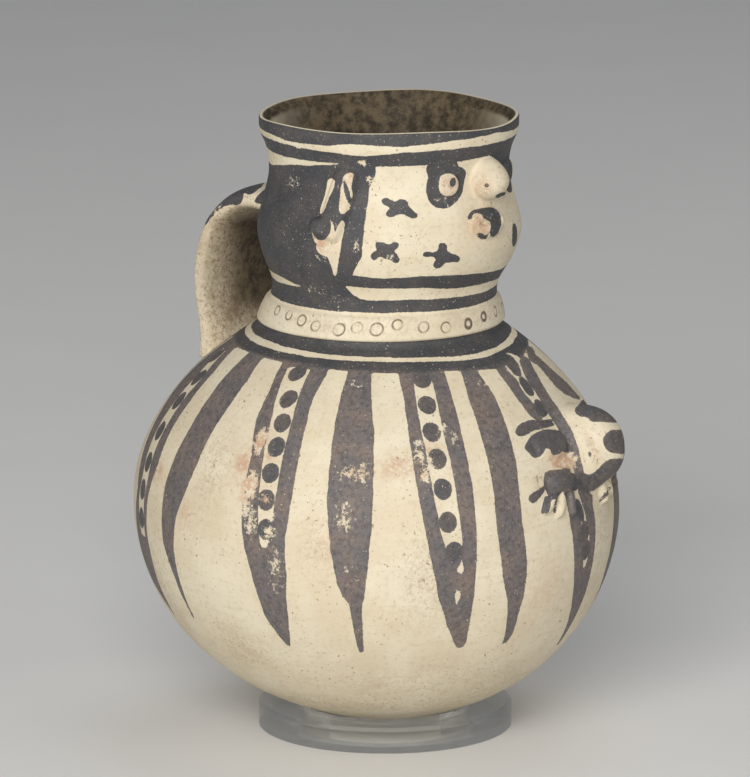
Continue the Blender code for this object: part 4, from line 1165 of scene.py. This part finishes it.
def make_ring(material):
    """The clear ring: its section turned finely, with the upper outer edge taken off."""
    bore, high, e, s = RING_BORE / 2, ring_high.z, RING_EDGE, EDGE_BREAK
    section = np.array((
        (RING_RADIUS - s, 0.0), (RING_RADIUS, s), (RING_RADIUS, high - e), (RING_RADIUS - e, high),
        (bore + s, high), (bore, high - s), (bore, s), (bore + s, 0.0)))
    turn = np.linspace(0, 2 * math.pi, RING_SIDES, endpoint=False)
    radius, height = section[:, :1], section[:, 1:]
    grid = np.stack((radius * np.cos(turn), radius * np.sin(turn) + AXIS_Y, height + 0 * turn[None, :]), -1)
    mesh = grid_mesh("clear_ring", grid, wrap=True)
    mesh.set_sharp_from_angle(angle=math.radians(RING_SHARP_ANGLE))
    return add_piece(mesh, "display_ring", material)


# ---------------------------------------------------------------- finishes

# Colours as linear red, green and blue
CREAM_WARM, CREAM_PALE, CREAM_WIPED = (0.70, 0.60, 0.43), (0.775, 0.695, 0.53), (0.63, 0.52, 0.36)
# The brown soil colour is a real stain on the jar, and painted shade on the strap's inner side
PINK_CLAY, SOIL_AND_SHADE, DUST, SPECK = (0.575, 0.365, 0.245), (0.36, 0.255, 0.16), (0.54, 0.43, 0.29), (0.30, 0.19, 0.10)
THIN_SLATE, THIN_BROWN = (0.158, 0.144, 0.143), (0.238, 0.182, 0.152)
THICK_SLATE, THICK_BROWN = (0.052, 0.056, 0.063), (0.088, 0.082, 0.080)
PAINT_GRAIN, PAINT_GRIT, SCRATCH = (0.050, 0.045, 0.047), (0.30, 0.25, 0.21), (0.17, 0.11, 0.07)
# Bare clay in the dark tones it shows in shade: painted shade inside the jar and on the strap's shaded side
SHADED_CLAY_DARK, SHADED_CLAY_PALE = (0.028, 0.020, 0.011), (0.125, 0.092, 0.052)
ACRYLIC, ACRYLIC_ALPHA, ACRYLIC_IOR = (0.93, 0.96, 0.955, 1.0), 0.45, 1.49
BOARD_DARK, BOARD_PALE = (0.78, 0.775, 0.765), (0.82, 0.815, 0.80)
ROOM, ROOM_STRENGTH = (0.80, 0.82, 0.85, 1.0), 0.24

# Clouds: a noise's scale, detail and roughness, the limits between which it is stepped, the levels that gives
CLOUDS = {
    "cream": ((45.0, 4.0, 0.6), (0.32, 0.68), (0.0, 1.0)),
    "pink": ((420.0, 6.0, 0.75), (0.38, 0.60), (0.0, 1.0)),
    "soil": ((170.0, 6.0, 0.75), (0.40, 0.72), (0.0, 0.6)),
    "soil grains": ((700.0, 6.0, 0.8), (0.50, 0.60), (0.0, 1.0)),
    "dust": ((520.0, 5.0, 0.75), (0.50, 0.72), (0.0, 0.55)),
    "specks": ((900.0, 2.0, 0.5), (0.655, 0.71), (0.0, 1.0)),
    "where specks are": ((70.0, 2.0, 0.55), (0.40, 0.65), (0.15, 0.9)),
    "paint": ((90.0, 5.0, 0.65), (0.35, 0.68), (0.0, 1.0)),
    "paint grain": ((600.0, 4.0, 0.7), (0.42, 0.66), (0.0, 0.55)),
    "paint grit": ((1500.0, 4.0, 0.85), (0.50, 0.74), (0.0, 0.45)),
    "pinholes": ((1500.0, 1.0, 0.55), (0.725, 0.755), (0.0, 0.7)),
    "scratches": ((180.0, 3.0, 0.55), (0.36, 0.56), (0.25, 1.0)),
    "bare clay": ((260.0, 6.0, 0.75), (0.36, 0.64), (0.0, 1.0)),
    "haze": ((120.0, 4.0, 0.6), (0.45, 0.75), (0.02, 0.10)),
}


class Tree:
    """Lays nodes in a material or a group; each call gives back the new node's output."""

    def __init__(self, tree):
        self.tree = tree

    def fill(self, node, inputs):
        """Sets a node's inputs, by name or number, to plain values or to other nodes' outputs."""
        for key, value in inputs.items():
            if isinstance(value, bpy.types.NodeSocket):
                self.tree.links.new(value, node.inputs[key])
            else:
                node.inputs[key].default_value = value

    def node(self, kind, inputs=None, **settings):
        """A node with its settings and its inputs."""
        node = self.tree.nodes.new(kind)
        for key, value in settings.items():
            setattr(node, key, value)
        self.fill(node, inputs or {})
        return node

    def group(self, group, inputs):
        """The outputs of a shared group."""
        return self.node("ShaderNodeGroup", inputs, node_tree=group).outputs

    def math(self, operation, *values, clamp=False):
        """One sum of up to three values."""
        node = self.node("ShaderNodeMath", dict(enumerate(values)), operation=operation, use_clamp=clamp)
        return node.outputs[0]

    def step(self, value, limits, levels=(0.0, 1.0)):
        """A smooth step of a value between two limits, from one level to another."""
        inputs = {"Value": value, "From Min": limits[0], "From Max": limits[1], "To Min": levels[0],
                  "To Max": levels[1]}
        return self.node("ShaderNodeMapRange", inputs, interpolation_type="SMOOTHSTEP").outputs[0]

    def mix(self, share, first, second):
        """Two colours mixed by a share."""
        pair = [value if isinstance(value, bpy.types.NodeSocket) else (*value, 1.0) for value in (first, second)]
        return self.node("ShaderNodeMix", {0: share, 6: pair[0], 7: pair[1]}, data_type="RGBA").outputs[2]

    def noise(self, scale, detail=3.0, roughness=0.55, stretch=(1.0, 1.0, 1.0)):
        """Cloudy noise on the object's own coordinates, stretched where asked."""
        place = self.node("ShaderNodeTexCoord").outputs["Object"]
        if stretch != (1.0, 1.0, 1.0):
            place = self.node("ShaderNodeMapping", {"Vector": place, "Scale": stretch}).outputs[0]
        inputs = {"Vector": place, "Scale": scale, "Detail": detail, "Roughness": roughness}
        return self.node("ShaderNodeTexNoise", inputs).outputs[0]

    def cloud(self, name):
        """One of the named clouds."""
        noise, limits, levels = CLOUDS[name]
        return self.step(self.noise(*noise), limits, levels)

    def field(self, name):
        """One of the piece's own paint fields."""
        return self.node("ShaderNodeAttribute", attribute_name=name).outputs["Fac"]


def new_group(name, inputs, outputs):
    """An empty shader group with named sockets: its tree, its inputs' values and its output node."""
    group = bpy.data.node_groups.new(name, "ShaderNodeTree")
    for socket in inputs:
        group.interface.new_socket(socket, in_out="INPUT", socket_type="NodeSocketFloat")
    for socket in outputs:
        kind = "NodeSocketColor" if socket == "Colour" else "NodeSocketFloat"
        group.interface.new_socket(socket, in_out="OUTPUT", socket_type=kind)
    tree = Tree(group)
    return group, tree, tree.node("NodeGroupInput").outputs, tree.node("NodeGroupOutput")


def brush_edge_group():
    """Depth inside a painted shape in millimetres, wobbled by two noises, then cut sharply at zero."""
    group, tree, given, out = new_group("brush_edge", ("Depth", "Wobble"), ("Mask",))
    slow = tree.math("SUBTRACT", tree.noise(210.0, 2.0), 0.5)
    quick = tree.math("SUBTRACT", tree.noise(900.0, 4.0, 0.7), 0.5)
    shift = tree.math("MULTIPLY_ADD", quick, 0.9, slow)
    depth = tree.math("MULTIPLY_ADD", shift, given["Wobble"], given["Depth"])
    tree.fill(out, {"Mask": tree.step(depth, (-0.12, 0.12))})
    return group


def slip_group():
    """Cream slip: slow clouds between two creams, level wiping streaks, dust, pink clay and brown soil where their
    fields ask for them, and brown specks; on the strap's inner side the brown soil is painted shade. The height is
    fine grain with the specks sunk in it."""
    group, tree, given, out = new_group("cream_slip", ("Pink", "Stain and shade"), ("Colour", "Height"))
    cream = tree.mix(tree.cloud("cream"), CREAM_WARM, CREAM_PALE)
    streak = tree.step(tree.noise(60.0, 3.0, 0.6, (1.0, 1.0, 9.0)), (0.5, 0.75), (0.0, 0.35))
    cream = tree.mix(streak, cream, CREAM_WIPED)
    cream = tree.mix(tree.math("MULTIPLY", tree.cloud("pink"), given["Pink"], clamp=True), cream, PINK_CLAY)
    soil = tree.math("MAXIMUM", tree.cloud("soil"), tree.cloud("soil grains"))
    cream = tree.mix(tree.math("MULTIPLY", soil, given["Stain and shade"], clamp=True), cream, SOIL_AND_SHADE)
    cream = tree.mix(tree.cloud("dust"), cream, DUST)
    specks = tree.cloud("specks")
    cream = tree.mix(tree.math("MULTIPLY", specks, tree.cloud("where specks are")), cream, SPECK)
    grain = tree.math("MULTIPLY_ADD", tree.noise(1600.0, 3.0), 0.35, tree.noise(300.0, 4.0, 0.6))
    tree.fill(out, {"Colour": cream, "Height": tree.math("MULTIPLY_ADD", specks, -0.5, grain)})
    return group


def dark_paint_group():
    """Brushed dark paint: slate to brown in slow clouds, thin where there is little ink, with dark grain and
    pale grit. The cover is what is left between flakes, whose limit falls with wear, and fine pinholes."""
    group, tree, given, out = new_group("dark_paint", ("Wear", "Ink"), ("Colour", "Cover", "Height"))
    cloud = tree.cloud("paint")
    thin, thick = tree.mix(cloud, THIN_SLATE, THIN_BROWN), tree.mix(cloud, THICK_SLATE, THICK_BROWN)
    tone = tree.mix(given["Ink"], thin, thick)
    tone = tree.mix(tree.cloud("paint grain"), tone, PAINT_GRAIN)
    tone = tree.mix(tree.cloud("paint grit"), tone, PAINT_GRIT)
    limit = tree.math("MULTIPLY_ADD", given["Wear"], -0.235, 0.72)
    lost = tree.step(tree.math("SUBTRACT", tree.noise(620.0, 8.0, 0.82), limit), (-0.012, 0.018))
    cover = tree.math("SUBTRACT", 1.0, tree.math("MAXIMUM", lost, tree.cloud("pinholes")), clamp=True)
    tree.fill(out, {"Colour": tone, "Cover": cover, "Height": tree.noise(800.0, 3.0)})
    return group


def new_finish(name):
    """A material with its tree and its surface shader."""
    material = bpy.data.materials.new(name)
    material.use_nodes = True
    return material, Tree(material.node_tree), material.node_tree.nodes["Principled BSDF"]


# How far the brush's edge wanders, and the band beside a collar ring's line that is dark, in millimetres
BRUSH_WOBBLE, RING_LINE = 0.8, (0.15, 0.50)


def clay_material():
    """Slip-painted earthenware: cream slip under brushed dark paint, and bare clay inside in its dark shaded tones,
    a painted shade. Paint is smoother and stands a little higher than slip, and the collar's rings are sunk."""
    material, tree, shader = new_finish("painted_slip")
    edge, fields = brush_edge_group(), ("paint", "dots", "light")
    masks = [tree.group(edge, {"Depth": tree.field(name), "Wobble": BRUSH_WOBBLE})["Mask"] for name in fields]
    under = tree.group(slip_group(), {"Pink": tree.field("pink"), "Stain and shade": tree.field("stain_and_shade")})
    over = tree.group(dark_paint_group(), {"Wear": tree.field("wear"), "Ink": tree.field("ink")})
    painted = tree.math("MULTIPLY", tree.math("MAXIMUM", *masks[:2]), tree.math("SUBTRACT", 1.0, masks[2]))
    painted = tree.math("MULTIPLY", painted, over["Cover"])
    colour = tree.mix(painted, under["Colour"], over["Colour"])
    ring = tree.step(tree.math("ABSOLUTE", tree.field("rings")), RING_LINE, (0.85, 0.0))
    ring = tree.math("MULTIPLY", ring, tree.cloud("scratches"))
    colour = tree.mix(ring, colour, SCRATCH)
    # Where the field asks, the clay's dark shaded tones: painted shade inside the jar and on the strap's inner side
    colour = tree.mix(tree.field("shade_and_bare_clay"), colour, tree.mix(tree.cloud("bare clay"), SHADED_CLAY_DARK, SHADED_CLAY_PALE))
    rough = tree.math("MULTIPLY_ADD", painted, -0.12, 0.72)
    height = tree.math("MULTIPLY_ADD", painted, 0.35, tree.math("MULTIPLY", under["Height"], 0.8))
    height = tree.math("MULTIPLY_ADD", ring, -0.8, height)
    height = tree.math("MULTIPLY_ADD", over["Height"], 0.2, height)
    bump = tree.node("ShaderNodeBump", {"Strength": 0.55, "Distance": 0.00022, "Height": height}).outputs[0]
    tree.fill(shader, {"Base Color": colour, "Roughness": rough, "Normal": bump, "Specular IOR Level": 0.35})
    return material


def acrylic_material():
    """Clear acrylic: see-through by plain values, half of it by alpha, with faint haze in its roughness."""
    material, tree, shader = new_finish("clear_acrylic_finish")
    tree.fill(shader, {"Base Color": ACRYLIC, "Transmission Weight": 1.0, "IOR": ACRYLIC_IOR, "Alpha": ACRYLIC_ALPHA,
                       "Roughness": tree.cloud("haze")})
    return material


def floor_material():
    """Matt pale board with a faint mottle."""
    material, tree, shader = new_finish("pale_board")
    tree.fill(shader, {"Roughness": 0.9, "Base Color": tree.mix(tree.noise(14.0, 3.0), BOARD_DARK, BOARD_PALE)})
    return material


# ---------------------------------------------------------------- floor, light and camera

FLOOR_HALF = 4.0
# Lights: azimuth from the camera's, elevation, distance, size, power and colour
LIGHTS = {
    "key": (-10, 23, 2.2, 1.3, 43, (1.0, 0.985, 0.955)),
    "fill": (60, 20, 2.4, 1.6, 5, (1.0, 1.0, 1.0)),
    "top": (150, 65, 2.0, 1.2, 6, (1.0, 1.0, 1.0)),
}
LIGHT_AIM_HEIGHT = 0.11


def make_floor():
    """A level square of pale board."""
    mesh, h = bpy.data.meshes.new("floor"), FLOOR_HALF
    mesh.from_pydata([(-h, -h, 0), (h, -h, 0), (h, h, 0), (-h, h, 0)], [], [(0, 1, 2, 3)])
    mesh.materials.append(floor_material())
    floor = bpy.data.objects.new("floor", mesh)
    bpy.context.scene.collection.objects.link(floor)


def set_up(name, data, place, back):
    """A light or camera at a place, looking against the direction given."""
    stand = bpy.data.objects.new(name, data)
    stand.location, stand.rotation_euler = Vector(place), Vector(back).to_track_quat("Z", "Y").to_euler()
    bpy.context.scene.collection.objects.link(stand)
    return stand


def make_studio():
    """Soft light from the camera's upper left, a weak fill from its right, and a pale room."""
    for name, (turn, elevation, distance, size, power, colour) in LIGHTS.items():
        light = bpy.data.lights.new(name, "AREA")
        light.size, light.energy, light.color = size, power, colour
        back = direction(CAMERA_AZIMUTH + turn, elevation)
        set_up(name, light, back * distance + (0, 0, LIGHT_AIM_HEIGHT), back)
    world = bpy.data.worlds.new("studio")
    bpy.context.scene.world = world
    world.use_nodes = True
    background = world.node_tree.nodes["Background"]
    background.inputs["Color"].default_value = ROOM
    background.inputs["Strength"].default_value = ROOM_STRENGTH
    bpy.context.scene.view_settings.view_transform = "Standard"


def make_camera():
    """The photograph's viewpoint."""
    data = bpy.data.cameras.new("viewpoint")
    data.sensor_fit, data.sensor_height, data.lens = "VERTICAL", CAMERA_FILM, CAMERA_LENS
    place, _, _, away = view_axes()
    bpy.context.scene.camera = set_up("viewpoint", data, place, -away)


make_camera()
make_studio()
make_floor()
clay = clay_material()
make_body(clay)
make_head(clay)
make_handle(clay)
make_ring(acrylic_material())
